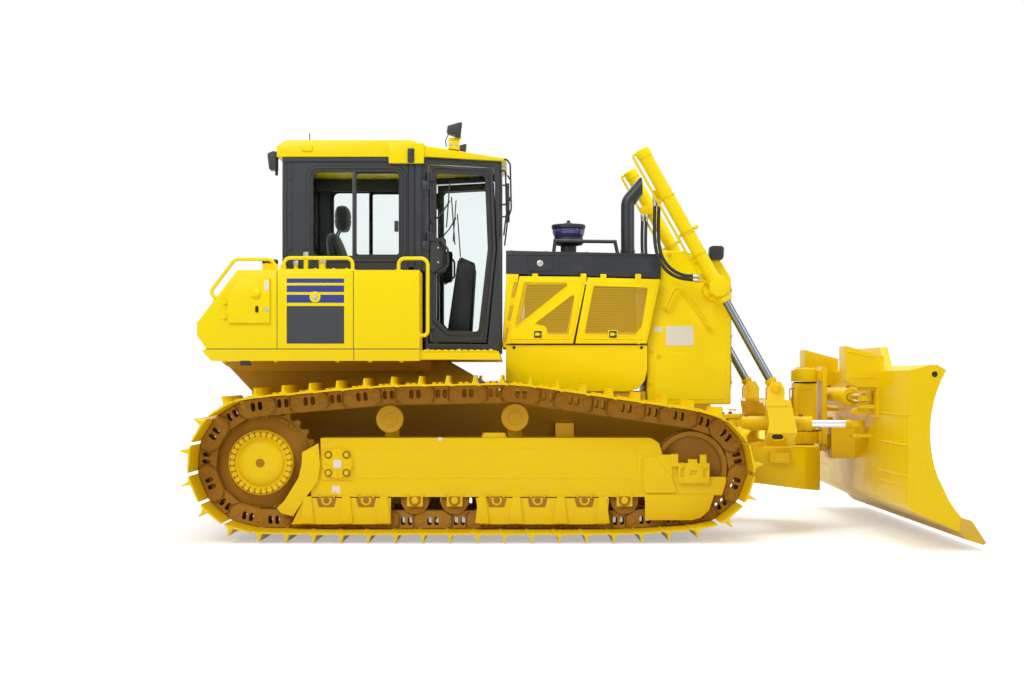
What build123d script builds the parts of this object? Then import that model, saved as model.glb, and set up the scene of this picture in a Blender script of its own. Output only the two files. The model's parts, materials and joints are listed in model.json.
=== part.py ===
from build123d import *
from math import asin, atan2, cos, hypot, pi, radians, sin, tan
import os

# Crawler bulldozer with a power-angle-tilt blade, built as separate named pieces.
# Millimetres, +X ahead, +Y to the left, +Z up. The origin is on the ground under the middle of
# the machine's length. Every outline in side view is written as (X, Z) pairs.

# ---------------------------------------------------------------- tracks
GAUGE = 2050.0            # between the middles of the two tracks
SHOE_WIDTH = 915.0
SHOES = 45                # links and shoes in each loop
PITCH = 203.2             # between two pins
PIN_TO_SHOE = 58.0        # pin's centre to the inner face of the shoe
PLATE = 13.0              # thickness of the shoe
GROUSER = 65.0            # height of the lug on the shoe
PIN_TO_RAIL = 85.0        # pin's centre to the rail that the rollers run on
PIN_HEIGHT = PIN_TO_SHOE + PLATE + GROUSER
LINK_INNER = 62.0         # the two strands of links lie this far from the track's middle
LINK_OUTER = 107.0
TEETH = 27                # the sprocket has a tooth for every half pitch
SPROCKET_PITCH_R = PITCH / 2 / sin(2 * pi / TEETH)
SPROCKET_RISE = 10.4      # of the lowest pin on the sprocket above the pins on the ground
SPROCKET = (-2372.0, PIN_HEIGHT + SPROCKET_PITCH_R + SPROCKET_RISE)
IDLER_Z = 549.0
IDLER_PIN_R = 378.0
ROLLER_Z = 300.0
ROLLER_X = (-1868.0, -1566.0, -1196.0, -893.0, -571.0, -260.0, 98.0, 404.0)
CARRIERS = ((-1390.0, 921.0, 190.0), (-432.0, 933.0, 194.0))   # X, Z, radius of the pins' path
RUN = 0.3                 # clearance between a wheel and what it rolls on

# ---------------------------------------------------------------- body
HULL_HALF = 430.0         # half width of the main frame between the blade's push arms
HOOD_HALF = 450.0
NOSE_HALF = 402.0
NOSE_Z = 1020.0
SILL_Z = 1126.0
FENDER_IN = 560.0
FENDER_OUT = GAUGE / 2 + 155
CAB_HALF = 750.0
CAB_FRONT_HALF = 480.0
CAB_REAR_X = -2268.0
CAB_SHOULDER_X = -1150.0  # where the side walls turn inwards to the front
CAB_FRONT_X = -540.0
CAB_SILL_Z = 1506.0
CAB_WAIST_Z = 2075.0
CAB_TOP_Z = 2978.0
WALL = 55.0
DOOR_GAP = 12.0
SKIN = 25.0               # thickness of the hinged sheet-metal doors

# ---------------------------------------------------------------- blade and linkage
FRAME_PIVOT = (-332.0, 560.0)
PIVOT_R = 45.0
ARM_IN = 452.0
ARM_OUT = 556.0
LIFT_Y = 680.0
LIFT_TRUNNION = (1179.0, 1957.0)
LIFT_EYE = (1631.0, 1149.0)
LIFT_BARREL_R = 55.0
LIFT_ROD_R = 33.0
TRUNNION_R = 40.0
KING_X = 1990.0           # vertical axis about which the blade angles
KING_R = 77.0
ANGLE_BASE = (1322.0, 470.0, 870.0)
ANGLE_EYE = (2290.0, 650.0, 870.0)
ANGLE_BARREL_R = 58.0
ANGLE_ROD_R = 30.0
ANGLE_GLAND = 632.0       # the barrel's open end, from its base pin
ANGLE_ROD_IN = 358.0      # the rod's end inside it
TILT_Z = 700.0            # height of the axis about which the blade tilts
TILT_PIN_R = 60.0
TILT_BASE = (2240.0, 400.0, 1080.0)
TILT_EYE = (2300.0, -900.0, 1080.0)
TILT_BARREL_R = 75.0
TILT_ROD_R = 32.0
TILT_GLAND = 850.0
TILT_ROD_IN = 300.0
BLADE_HALF = 2005.0
BLADE_BACK_X = 2379.0
BASE_PIN_R = 22.0
EYE_R = 55.0
EYE_HALF = 25.0
ANGLE_EAR_GAP = 78.0     # from the rod eye's middle to each ear, room for the blade's tilt
TILT_EAR_GAP = 54.0
EAR = 28.0
PAD = 16.0               # plate between the tilt ears and the blade's back
FIT = 0.3

SIDES = (("right", -1), ("left", 1))


# ---------------------------------------------------------------- helpers
def outline(points, y0, y1):
    """A side-view polygon of (X, Z) points, from Y = y0 to Y = y1."""
    low, high = min(y0, y1), max(y0, y1)
    face = make_face(Polyline(*points, close=True))
    return extrude(Plane.XZ.offset(-high) * face, high - low)


def plan(points, z0, z1):
    """A plan-view polygon of (X, Y) points, from Z = z0 to Z = z1."""
    return extrude(Plane.XY.offset(z0) * make_face(Polyline(*points, close=True)), z1 - z0)


def block(x0, x1, y0, y1, z0, z1):
    middle = Pos((x0 + x1) / 2, (y0 + y1) / 2, (z0 + z1) / 2)
    return middle * Box(abs(x1 - x0), abs(y1 - y0), abs(z1 - z0))


def bar(start, end, radius, sides=None):
    """A bar between two points: round, or with flats, where radius reaches the corners."""
    a, b = Vector(*start), Vector(*end)
    section = RegularPolygon(radius, sides) if sides else Circle(radius)
    return extrude(Plane(a, z_dir=b - a) * section, (b - a).length)


def bore(start, end, radius, sides=8):
    """What is cut for a small hole: flats at the radius."""
    a, b = Vector(*start), Vector(*end)
    section = RegularPolygon(radius, sides, major_radius=False)
    return extrude(Plane(a, z_dir=b - a) * section, (b - a).length)


def disc(x, z, radius, y0, y1, sides=None):
    """A bar along Y."""
    return bar((x, min(y0, y1), z), (x, max(y0, y1), z), radius, sides)


def post(x, y, radius, z0, z1, sides=None):
    """A bar along Z."""
    return bar((x, y, z0), (x, y, z1), radius, sides)


def hinge(start, along, length, radius, foot, turning_foot, pin_sides=None):
    """Knuckle with the pin in it, and the knuckle that turns on the pin, each with its foot."""
    a, d = Vector(*start), Vector(*along)
    pin = bar(a, a + d * length, radius / 2, pin_sides)
    fixed = bar(a, a + d * (length / 2 - 1), radius, 6) + pin + foot
    turning = bar(a + d * (length / 2), a + d * length, radius, 6) + turning_foot
    return fixed, turning - bore(a, a + d * (length + 1), radius / 2 + FIT, 6)


def other_side(shape):
    return mirror(shape, about=Plane.XZ)


def both(shape):
    return Compound([shape, other_side(shape)])


def save(name, shape):
    solids = ShapeList(shape.solids())
    export_step(solids[0] if len(solids) == 1 else Compound(solids), f"parts/{name}.step")


# ---------------------------------------------------------------- the loop of the track
def tangent(a, b):
    """Angle of the line that touches both circles (X, Z, R) on its left-hand side."""
    dx, dz = b[0] - a[0], b[1] - a[1]
    return atan2(dz, dx) - asin((a[2] - b[2]) / hypot(dx, dz))


class Loop:
    """The pins' path, clockwise in side view, round a ring of circles (X, Z, R)."""

    def __init__(self, circles):
        self.spans = []     # length, start, then heading of a line, or centre, R and first angle
        count = len(circles)
        headings = [tangent(circles[i], circles[(i + 1) % count]) for i in range(count)]
        for i, (x, z, r) in enumerate(circles):
            turn = (headings[i - 1] - headings[i]) % (2 * pi)
            self.spans.append(("arc", r * turn, (x, z, r, headings[i - 1] + pi / 2)))
            n = headings[i] + pi / 2
            nx, nz, nr = circles[(i + 1) % count]
            start = (x + r * cos(n), z + r * sin(n))
            end = (nx + nr * cos(n), nz + nr * sin(n))
            run = hypot(end[0] - start[0], end[1] - start[1])
            self.spans.append(("line", run, (*start, headings[i])))
        self.length = sum(span[1] for span in self.spans)

    def at(self, s):
        s %= self.length
        for kind, run, data in self.spans:
            if s <= run:
                break
            s -= run
        if kind == "arc":
            x, z, r, first = data
            return x + r * cos(first - s / r), z + r * sin(first - s / r)
        x, z, heading = data
        return x + s * cos(heading), z + s * sin(heading)

    def next_pin(self, s):
        """The place along the path whose straight distance from s is one pitch."""
        x, z = self.at(s)
        low, high = s + PITCH * 0.9, s + PITCH * 1.2
        for _ in range(40):
            middle = (low + high) / 2
            px, pz = self.at(middle)
            if hypot(px - x, pz - z) < PITCH:
                low = middle
            else:
                high = middle
        return low


def loop_with(idler_x):
    wheels = [(*SPROCKET, SPROCKET_PITCH_R), *CARRIERS, (idler_x, IDLER_Z, IDLER_PIN_R)]
    ends = [(x, PIN_HEIGHT + 200, 200) for x in (ROLLER_X[-1], ROLLER_X[0])]
    return Loop(wheels + ends)


def pins_of(loop):
    places = [0.0]
    for _ in range(SHOES):
        places.append(loop.next_pin(places[-1]))
    return places


def tensioned():
    """Moves the idler, as the track adjuster does, until the links close on the first pin."""
    low, high = ROLLER_X[-1] + IDLER_PIN_R, ROLLER_X[-1] + SHOES * PITCH / 4
    for _ in range(40):
        middle = (low + high) / 2
        loop = loop_with(middle)
        if pins_of(loop)[-1] > loop.length:
            low = middle
        else:
            high = middle
    loop = loop_with(low)
    return low, [loop.at(s) for s in pins_of(loop)[:-1]]


IDLER_X, PINS = tensioned()


def links():
    """Each link's middle, heading and half angle to the links at both ends."""
    found = []
    for i, (x, z) in enumerate(PINS):
        nx, nz = PINS[(i + 1) % SHOES]
        found.append(((x + nx) / 2, (z + nz) / 2, atan2(nz - z, nx - x)))
    return found


LINKS = links()


def offset_loop(distance):
    """The polygon of the pins moved outwards by a distance."""
    points = []
    for i, (x, z) in enumerate(PINS):
        before, after = LINKS[i - 1][2], LINKS[i][2]
        half = ((before - after + pi) % (2 * pi) - pi) / 2
        normal = before - half + pi / 2
        reach = distance / cos(half)
        points.append((x + reach * cos(normal), z + reach * sin(normal)))
    return points


def rail_distance(x, z):
    """From a wheel's centre to the nearest link's rail."""
    return min(abs((z - mz) * cos(a) - (x - mx) * sin(a)) for mx, mz, a in LINKS
               if hypot(x - mx, z - mz) < 600) - PIN_TO_RAIL


def track():
    """One track about Y = 0: two strands of links and their shoes with lugs, in one loop."""
    belt = outline(offset_loop(PIN_TO_SHOE), LINK_INNER, LINK_OUTER)
    belt -= outline(offset_loop(-PIN_TO_RAIL), LINK_INNER - 1, LINK_OUTER + 1)
    half = PITCH / 2 - 4
    lug = ((-half, 0), (half, 0), (half, PLATE), (half - 30, PLATE), (half - 34, PLATE + GROUSER),
           (half - 52, PLATE + GROUSER), (half - 60, PLATE), (-half, PLATE))
    shoes = []
    for x, z, heading in LINKS:
        c, s = cos(heading), sin(heading)
        shoe = [(x + u * c - (w + PIN_TO_SHOE) * s, z + u * s + (w + PIN_TO_SHOE) * c) for u, w in lug]
        shoes.append(outline(shoe, -SHOE_WIDTH / 2, SHOE_WIDTH / 2))
    return belt.fuse(other_side(belt), *shoes)


# ---------------------------------------------------------------- undercarriage
def wheel(x, z, steps, sides=None):
    """Stepped wheel on an axle along Y: steps of (radius, y0, y1)."""
    steps = [disc(x, z, *step, sides) for step in steps]
    return steps[0].fuse(*steps[1:])


def sprocket():
    """Final drive and its toothed rim, about the track's middle, outer side at -Y."""
    x, z = SPROCKET
    root, tip = SPROCKET_PITCH_R - 52, SPROCKET_PITCH_R - 16
    phase = atan2(PINS[0][1] - z, PINS[0][0] - x)
    teeth = []
    for i in range(TEETH):
        a = phase + (i + 0.5) * 2 * pi / TEETH
        for r, turn in ((root, -0.085), (tip, -0.035), (tip, 0.035), (root, 0.085)):
            teeth.append((x + r * cos(a + turn), z + r * sin(a + turn)))
    return outline(teeth, -44, 44) + wheel(x, z, ((244, -150, 90), (159, -185, -140)), 16)


def idler():
    tread = rail_distance(IDLER_X, IDLER_Z) - RUN
    return (disc(IDLER_X, IDLER_Z, tread, -LINK_OUTER, LINK_OUTER, 24)
            + disc(IDLER_X, IDLER_Z, 70, -150, 150, 8))


def rollers():
    """Track rollers and carrier rollers about the track's middle."""
    found = []
    for x in ROLLER_X:
        tread = rail_distance(x, ROLLER_Z) - RUN
        found.append(disc(x, ROLLER_Z, tread, -134, 134, 8) + disc(x, ROLLER_Z, 32, -146, 146, 6))
    for x, z, _ in CARRIERS:
        tread = rail_distance(x, z) - RUN
        found.append(wheel(x, z, ((tread, -112, 112), (45, 0, 131)), 10))
    return Compound(found)


def track_frame():
    """Roller frame about the track's middle: box, roller brackets, carrier stands, guards."""
    frame = outline(((-1916, 430), (-1916, 777), (600, 777), (600, 430)), -155, 155)
    nose = ((600, 340), (600, 777), (606, 777), (667, 739), (743, 486), (IDLER_X + 261, 479),
            (IDLER_X + 261, 441), (IDLER_X + 231, 340))
    for y0, y1 in ((-155, -124), (124, 155)):
        frame += outline(nose, y0, y1)
    for y0, y1 in ((-155, -146), (146, 155)):
        frame += outline(((-1990, 327), (-1990, 560), (-1900, 640), (-1900, 431), (740, 431),
                          (700, 327)), y0, y1)
        for x in ROLLER_X:
            frame += block(x - 60, x + 60, y0, y1, 255, 332)
    for x, z, _ in CARRIERS:
        frame += block(x - 55, x + 55, 131, 160, 700, z + 50)
    # slides that carry the idler's axle
    for y0, y1 in ((-152, -124), (124, 152)):
        frame += block(700, IDLER_X + 90, y0, y1, 480, 590)
        frame -= bore((IDLER_X, y0 - 1, IDLER_Z), (IDLER_X, y1 + 1, IDLER_Z), 70)
    inner = [other_side(piece) for piece in rock_guards(False)]
    return frame.fuse(*rock_guards(True), *end_guards(), *inner)


ROCK_GUARDS = (    # X of the corners: top and lower rear, lower and top front, then the ribs
    (-2035, -2134, -1378, -1378, (-2010, -1717, -1430)),
    (-730, -700, 270, 285, (-683, -421, -84, 235)),
)


FRAME_FACE = -155.0       # outer side of the roller frame


def rock_guards(ribbed):
    """Plates that keep stones out of the rollers, with ribs on the outer ones."""
    face = FRAME_FACE
    found = []
    for top_rear, low_rear, low_front, top_front, ribs in ROCK_GUARDS:
        found.append(outline(((top_rear, 320), (low_rear, 120), (low_front, 120), (top_front, 320)),
                             face - 25, face))
        if ribbed:
            found += [outline(((x - 28, 332), (x - 52, 130), (x + 52, 130), (x + 28, 332)),
                              face - 45, face) for x in ribs]
    return found


def end_guards():
    """Sprocket guard, idler guard and idler yoke on the frame's outer face."""
    face = FRAME_FACE
    found = []
    found.append(outline(((-1930, 738), (-2053, 668), (-2057, 576), (-2080, 476), (-2188, 300),
                          (-2246, 243), (-2210, 204), (-2123, 182), (-2044, 300), (-1935, 450),
                          (-1917, 576)), face - 30, face))
    found.append(outline(((560, 345), (560, 151), (IDLER_X, 151), (IDLER_X + 70, 170),
                          (IDLER_X + 130, 228), (IDLER_X + 170, 345)), face - 18, face))
    found.append(outline(((600, 430), (600, 650), (760, 650), (772, 486), (760, 450), (740, 430)),
                         face - 8, face))
    yoke = block(IDLER_X - 105, IDLER_X + 132, face - 30, face, 434, 586)
    for x0, x1, z in ((-158, -105, 655), (-30, 40, 615), (60, 110, 650)):
        yoke += block(IDLER_X + x0, IDLER_X + x1, face - 20, face, 560, z)
    yoke -= block(IDLER_X - 15, IDLER_X + 40, face - 31, face - 12, 496, 532)
    for x0 in (IDLER_X - 88, IDLER_X + 84):
        yoke -= block(x0, x0 + 32, face - 31, face - 12, 480, 548)
    found.append(yoke)
    return found


# ---------------------------------------------------------------- main frame
def main_frame():
    hull = outline(((-2560, 1131), (-2520, 700), (-2330, 430), (1050, 430), (1150, 560),
                    (1150, NOSE_Z), (625, NOSE_Z), (625, SILL_Z), (-560, SILL_Z), (-1100, 1440),
                    (-2700, 1440), (-2779, 1363)), -HULL_HALF, HULL_HALF)
    hull += outline(((-2779, 1363), (-2700, 1440), (-1100, 1440), (-1100, 1290), (-2600, 1290),
                     (-2740, 1330)), -FENDER_IN, FENDER_IN)
    for _, side in SIDES:
        # final-drive housings, the shaft that the roller frames rock on, the equaliser bar
        # and the pivots of the blade's push arms
        inner = GAUGE / 2 - 90
        hull += disc(*SPROCKET, 244, side * HULL_HALF, side * inner, 16)
        hull += disc(-1784, 581, 80, side * HULL_HALF, side * (GAUGE / 2 - 155), 10)
        hull += block(-120, 20, side * HULL_HALF, side * (GAUGE / 2 - 155), 790, 890)
        hull += block(-120, 20, side * (GAUGE / 2 - 155), side * (GAUGE / 2 + 60), 777, 890)
        hull += disc(*FRAME_PIVOT, PIVOT_R, side * HULL_HALF, side * (ARM_OUT + 8))
    return hull


HITCH = (-2660.0, 610.0)
HITCH_R = 27.5


def drawbar():
    """Rear clevis with an upright pin hole."""
    x, z = HITCH
    bar_ = block(x + 90, -2400, -110, 110, z - 110, z + 110)
    for z0 in (z - 90, z + 50):
        bar_ += block(x, x + 100, -75, 75, z0, z0 + 40) + post(x, 0, 75, z0, z0 + 40, 12)
    return bar_ - post(x, 0, HITCH_R, z - 100, z + 100) - main_frame()


def build_undercarriage():
    right = Pos(0, -GAUGE / 2, 0)
    loop = right * track()
    save("track_right", loop)
    save("track_left", other_side(loop))
    save("sprockets", both(right * sprocket()))
    save("idlers", both(right * idler()))
    save("rollers", both(right * rollers()))
    save("track_frames", both(right * track_frame()))
    save("main_frame", main_frame())
    save("drawbar", drawbar())


# ---------------------------------------------------------------- body shell
def fender():
    """Tank and step tray over the right-hand track."""
    tank = outline(((-2860, 1655), (-2550, 2059), (-1163, 2059), (-1163, 1456), (-2789, 1456),
                    (-2860, 1564)), -FENDER_OUT, -FENDER_IN)
    tank += outline(((-2823, 1443), (-2749, 1366), (-1163, 1366), (-1163, 1456), (-2789, 1456)),
                    -FENDER_OUT, -FENDER_IN)
    tank += outline(((-1163, 1376), (-1163, 1440), (-560, 1440), (-540, 1376)),
                    -FENDER_OUT + 40, -FENDER_IN)
    tank += post(*FILLER, 58, 2050, 2160, 12)
    for fixed, _ in utility_hinges():
        tank += fixed
    return tank


FILLER = (-2347.0, -870.0)
UTILITY_HINGE = (-2632.0, -FENDER_OUT - 15.0)


def utility_hinges():
    x, y = UTILITY_HINGE
    return [hinge((x, y, z), (0, 0, 1), 60, 10, block(x - 28, x, y - 3, -FENDER_OUT, z, z + 29),
                  block(x + 4, x + 32, y - 10, y + 3, z + 30, z + 60), sides)
            for z, sides in ((1690, None), (1800, 6))]


def utility_door():
    """Chamfered door on the outer face of the right-hand tank."""
    edge = ((-2622, 1655), (-2622, 1880), (-2510, 1998), (-2302, 1998), (-2302, 1655))
    leaf = outline(edge, -FENDER_OUT - 25, -FENDER_OUT - 5)
    for _, turning in utility_hinges():
        leaf += turning
    return leaf


def cab_plan(inset):
    """Upper plan of the cab, moved in by a wall's thickness."""
    k = inset / cos(atan2(CAB_HALF - CAB_FRONT_HALF, CAB_FRONT_X - CAB_SHOULDER_X))
    half, front = CAB_HALF - inset, CAB_FRONT_HALF - k
    slope = (CAB_HALF - CAB_FRONT_HALF) / (CAB_FRONT_X - CAB_SHOULDER_X)
    shoulder = CAB_SHOULDER_X - (k - inset) / slope
    front += inset * slope
    right = [(CAB_REAR_X + inset, -half), (shoulder, -half), (CAB_FRONT_X - inset, -front)]
    return right + [(x, -y) for x, y in reversed(right)]


def lower_plan(inset):
    """Plan below the waist: narrow between the tanks, full width ahead of them."""
    points = cab_plan(inset)
    half = FENDER_IN - 10 - inset
    x = CAB_SHOULDER_X + 8 + inset
    slope = (CAB_HALF - CAB_FRONT_HALF) / (CAB_FRONT_X - CAB_SHOULDER_X)
    wide = -points[2][1] + (points[2][0] - x) * slope
    right = [(CAB_REAR_X + inset, -half), (x, -half), (x, -wide), points[2]]
    return right + [(px, -py) for px, py in reversed(right)]


DOOR_EDGE = ((-1120, CAB_SILL_Z), (-650, CAB_SILL_Z), (-575, 2270), (-600, 2930), (-1120, 2930))
DOOR_GLASS = ((-1060, 1700), (-960, 1600), (-720, 1600), (-645, 2270), (-668, 2860), (-1060, 2860))


def grown(points, step):
    """A polygon moved outwards by a step."""
    return offset(make_face(Polyline(*points, close=True)), step, kind=Kind.INTERSECTION)


def through(points, step, y0, y1):
    return extrude(Plane.XZ.offset(-max(y0, y1)) * grown(points, step), abs(y1 - y0))


def cab_walls():
    upper = plan(cab_plan(0), CAB_WAIST_Z, CAB_TOP_Z) - plan(cab_plan(WALL), CAB_WAIST_Z, CAB_TOP_Z)
    lower = plan(lower_plan(0), 1440, CAB_WAIST_Z) - plan(lower_plan(WALL), CAB_SILL_Z, CAB_WAIST_Z)
    ledge = plan(cab_plan(0), CAB_WAIST_Z, CAB_WAIST_Z + WALL) - plan(lower_plan(WALL), 2000, 2200)
    return upper + lower + ledge


CAB_HINGE = (-1117.0, CAB_HALF + 12)


def cab_hinges(side):
    """The two hinges of one cab door: knuckles on the pillar, and those on the door."""
    x, y = CAB_HINGE
    fixed, turning = [], []
    for z, sides in ((2245, None), (2720, 6)):
        foot = block(x - 45, x, side * (CAB_HALF - 15), side * (y + 6), z, z + 69)
        leaf = block(x + 9, x + 60, side * (CAB_HALF - 35), side * (y + 4), z + 70, z + 140)
        still, moving = hinge((x, side * y, z), (0, 0, 1), 140, 14, foot, leaf, sides)
        fixed.append(still)
        turning.append(moving)
    return Compound(fixed), Compound(turning)


SIDE_WINDOW = ((-2160, 2190), (-2160, 2870), (-1300, 2870), (-1300, 2190))


def cab():
    """Hollow cab with its windows cut, and the parts of its walls that are the doors."""
    walls = cab_walls()
    doors = {}
    panes = []
    for name, side in SIDES:
        y0, y1 = side * (CAB_FRONT_HALF - 55), side * (CAB_HALF + 50)
        opening = through(DOOR_EDGE, 0, y0, y1)
        leaf = walls & through(DOOR_EDGE, -DOOR_GAP, y0 + side * 15, y1)
        hole = through(DOOR_GLASS, 0, y0, y1)
        middle = plan(cab_plan(WALL * 0.35), 1500, 2950) - plan(cab_plan(WALL * 0.65), 1400, 3000)
        walls -= opening
        knuckles, leaves = cab_hinges(side)
        walls += knuckles
        doors[name] = (leaf - hole + leaves, middle & hole)
        window = outline(SIDE_WINDOW, side * (CAB_HALF - 150), side * (CAB_HALF + 50))
        walls -= window
        panes.append(middle & window)
    middle = plan(cab_plan(WALL * 0.35), 1500, 2950) - plan(cab_plan(WALL * 0.65), 1400, 3000)
    for x0, x1, y0, z0 in ((CAB_FRONT_X - 90, CAB_FRONT_X + 5, CAB_FRONT_HALF - 100, 2130),
                           (CAB_REAR_X - 5, CAB_REAR_X + 90, CAB_HALF - 150, 2190)):
        hole = block(x0, x1, -y0, y0, z0, 2870)
        walls -= hole
        panes.append(middle & hole)
    return walls, doors, panes


def cab_roof():
    roof = outline(((-2310, CAB_TOP_Z), (-2310, 3060), (-2240, 3110), (-1250, 3110), (-1120, 3060),
                    (-500, 3000), (-500, CAB_TOP_Z)), -CAB_HALF - 20, CAB_HALF + 20)
    for side in (-1, 1):
        wide, narrow = side * (CAB_HALF + 25), side * (CAB_FRONT_HALF + 20)
        roof -= plan([(-1100, wide * 1.1), (-1100, wide), (-480, narrow), (-480, wide * 1.1)], 2900, 3200)
        roof += block(-1425, -1149, side * (CAB_HALF + FIT), side * (CAB_HALF + 50), 2924, 3083)
    return roof


def seat():
    base = block(-1900, -1400, -260, 260, 1700, 1850)
    base += outline(((-1960, 1850), (-2080, 2450), (-1990, 2450), (-1840, 1850)), -240, 240)
    base += block(-2070, -1990, -130, 130, 2450, 2640)
    base += block(-1850, -1450, -180, 180, CAB_SILL_Z, 1700)
    return base


def console():
    desk = outline(((-1000, CAB_SILL_Z), (-800, CAB_SILL_Z), (-760, 2150), (-900, 2200)), -300, 300)
    for side in (-1, 1):
        desk += block(-1880, -1400, side * 300, side * 420, CAB_SILL_Z, 1980)
    return desk


# ---------------------------------------------------------------- engine housing
def hood_envelope():
    return outline(((-505, 2077), (-505, 2264), (620, 2240), (742, 2232), (742, 2042)),
                   -HOOD_HALF, HOOD_HALF)


HOOD_RECESSES = ((-77, 109), (198, 657))
HOOD_RAIL = ((-118, -300, 2242), (-104, -300, 2353), (385, -300, 2348), (408, -300, 2238))


def tube(points, radius):
    """A rail with hexagonal section along straight runs."""
    path = Polyline(*points)
    return sweep(Plane(path @ 0, z_dir=path % 0) * RegularPolygon(radius, 6), path,
                 transition=Transition.RIGHT)


def hood():
    top = hood_envelope()
    top -= outline(((-540, 2000), (-540, 2234), (650, 2200), (800, 2190), (800, 2000)),
                   -HOOD_HALF + SKIN, HOOD_HALF - SKIN)
    for x0, x1 in HOOD_RECESSES:
        recess = outline(((x0, 2110), (x0, 2208), (x1, 2204), (x1, 2106)), 8 - HOOD_HALF, -HOOD_HALF - 1)
        top -= recess + other_side(recess)
    for place in ENGINE_DOORS:
        for fixed, _ in engine_hinges(place):
            top += fixed + other_side(fixed)
    return top + tube(HOOD_RAIL, RAIL_R)


BAY_FRONT_X = 636.0


def engine_bay():
    """Sills under the doors, the slanted rear columns and the floor."""
    bay = outline(((-505, SILL_Z), (-505, 1505), (BAY_FRONT_X, 1505), (BAY_FRONT_X, 1300),
                   (BAY_FRONT_X - 20, 1212), (BAY_FRONT_X - 75, 1148), (BAY_FRONT_X - 150, SILL_Z)),
                  -HOOD_HALF, HOOD_HALF)
    bay -= block(-480, 1000, -HOOD_HALF + SKIN, HOOD_HALF - SKIN, SILL_Z + SKIN, 1600)
    for side in (-1, 1):
        bay += outline(((-535, 1480), (-500, 2077), (-400, 2077), (-470, 1480)),
                       side * HOOD_HALF, side * (HOOD_HALF - SKIN))
    return bay - hood_envelope()


ENGINE_HINGE_Y = -HOOD_HALF - 15
ENGINE_DOORS = {    # outline, window, height of the hinges and where they start
    "rear": (((-395, 2055), (147, 2050), (36, 1513), (-503, 1513)),
             ((-410, 1600), (-335, 1990), (65, 1990), (-15, 1600)), 2068, (-330, 60)),
    "front": (((155, 2045), (737, 2030), (629, 1513), (54, 1513)),
              ((120, 1600), (200, 1980), (650, 1965), (575, 1600)), 2060, (220, 500)),
}


def engine_hinges(place):
    y, (_, _, z, starts) = ENGINE_HINGE_Y, ENGINE_DOORS[place]
    return [hinge((x, y, z), (1, 0, 0), 80, 9, block(x, x + 39, y, 5 - HOOD_HALF, z, z + 9),
                  block(x + 40, x + 80, y - 9, y, z - 40, z), sides) for x, sides in zip(starts, (None, 6))]


def engine_door(place):
    """Right-hand side door of the engine, hinged along its top edge, with its air window."""
    edge, window = ENGINE_DOORS[place][:2]
    leaf = outline(edge, -HOOD_HALF - 5 - SKIN, -HOOD_HALF - 5)
    leaf -= outline(window, -HOOD_HALF - 6 - SKIN, -HOOD_HALF)
    for _, turning in engine_hinges(place):
        leaf += turning
    return leaf


def radiator_guard():
    """Nose: a heavy box with the lift cylinders' pivots on its sides."""
    shell = outline(((BAY_FRONT_X, NOSE_Z), (BAY_FRONT_X, 2030), (742, 2030), (742, 2267), (927, 2264),
                     (1092, 2211), (1232, 2192), (1318, 2047), (1318, NOSE_Z)), -NOSE_HALF, NOSE_HALF)
    shell -= block(1200, 1400, -NOSE_HALF + 60, NOSE_HALF - 60, 1150, 2000)
    x, z = LIFT_TRUNNION
    for side in (-1, 1):
        shell += disc(x, z, 105, side * NOSE_HALF, side * (LIFT_Y - 83), 12)
        shell += disc(x, z, TRUNNION_R, side * NOSE_HALF, side * (LIFT_Y - 48))
    return shell


def front_grille():
    grille = block(1301, 1326, -NOSE_HALF + 60, NOSE_HALF - 60, 1150, 2000)
    for i in range(12):
        z = 1190 + i * 64
        grille -= block(1290, 1340, -NOSE_HALF + 90, NOSE_HALF - 90, z, z + 36)
    return grille


EXHAUST = (498.0, -150.0)
EXHAUST_R = 57.0


def exhaust():
    """Upright stack that turns ahead and ends in a slanted cut."""
    x, y = EXHAUST
    path = Polyline((x, y, 2200), (x, y, 2710), (x + 90, y, 2815))
    ring = Plane(path @ 0, z_dir=path % 0) * RegularPolygon(EXHAUST_R, 16)
    pipe = sweep(ring, path, transition=Transition.RIGHT)
    return pipe - hood_envelope()


PRECLEANER_X = 14.5


def precleaner():
    """Intake neck, its round housing with the dust bowl, and the cap."""
    steps = ((66, 2235, 2342), (122, 2342, 2404), (134, 2404, 2478), (141, 2478, 2512), (120, 2512, 2526))
    stack = [post(PRECLEANER_X, 0, radius, z0, z1, 12) for radius, z0, z1 in steps]
    return stack[0].fuse(*stack[1:]) - hood_envelope()


RAIL_Y = 30.0 - FENDER_OUT
RAILS = (   # runs of (X, Y, Z) over the right-hand tank
    ((-2715, RAIL_Y, 1832), (-2765, RAIL_Y, 1889), (-2574, RAIL_Y, 2143), (-2292, RAIL_Y, 2143),
     (-2250, RAIL_Y, 2055)),
    ((-2200, RAIL_Y, 2055), (-2200, RAIL_Y, 2153), (-1700, RAIL_Y, 2153), (-1674, RAIL_Y, 2055)),
    ((-1322, RAIL_Y, 2055), (-1322, RAIL_Y, 2150), (-1140, RAIL_Y, 2150), (-1099, RAIL_Y, 2115),
     (-1099, RAIL_Y, 1440)),
)
RAIL_R = 15.0
NOSE_RAIL = ((774, 20 - NOSE_HALF, 1795), (774, -NOSE_HALF - 60, 1795), (854, -NOSE_HALF - 60, 1960),
             (906, -NOSE_HALF - 60, 1956), (1136, -NOSE_HALF - 60, 1630), (1136, 20 - NOSE_HALF, 1630))


def handrails():
    rails = Part()
    for run in RAILS:
        rails += tube(run, RAIL_R)
    rails += tube(NOSE_RAIL, RAIL_R) - block(0, 2000, -NOSE_HALF, NOSE_HALF, 1000, 2500)
    return rails - fender() - outline(((-2860, 1655), (-2550, 2059), (-2000, 2059), (-2000, 1655)),
                                      -1200, -1100)


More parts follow.
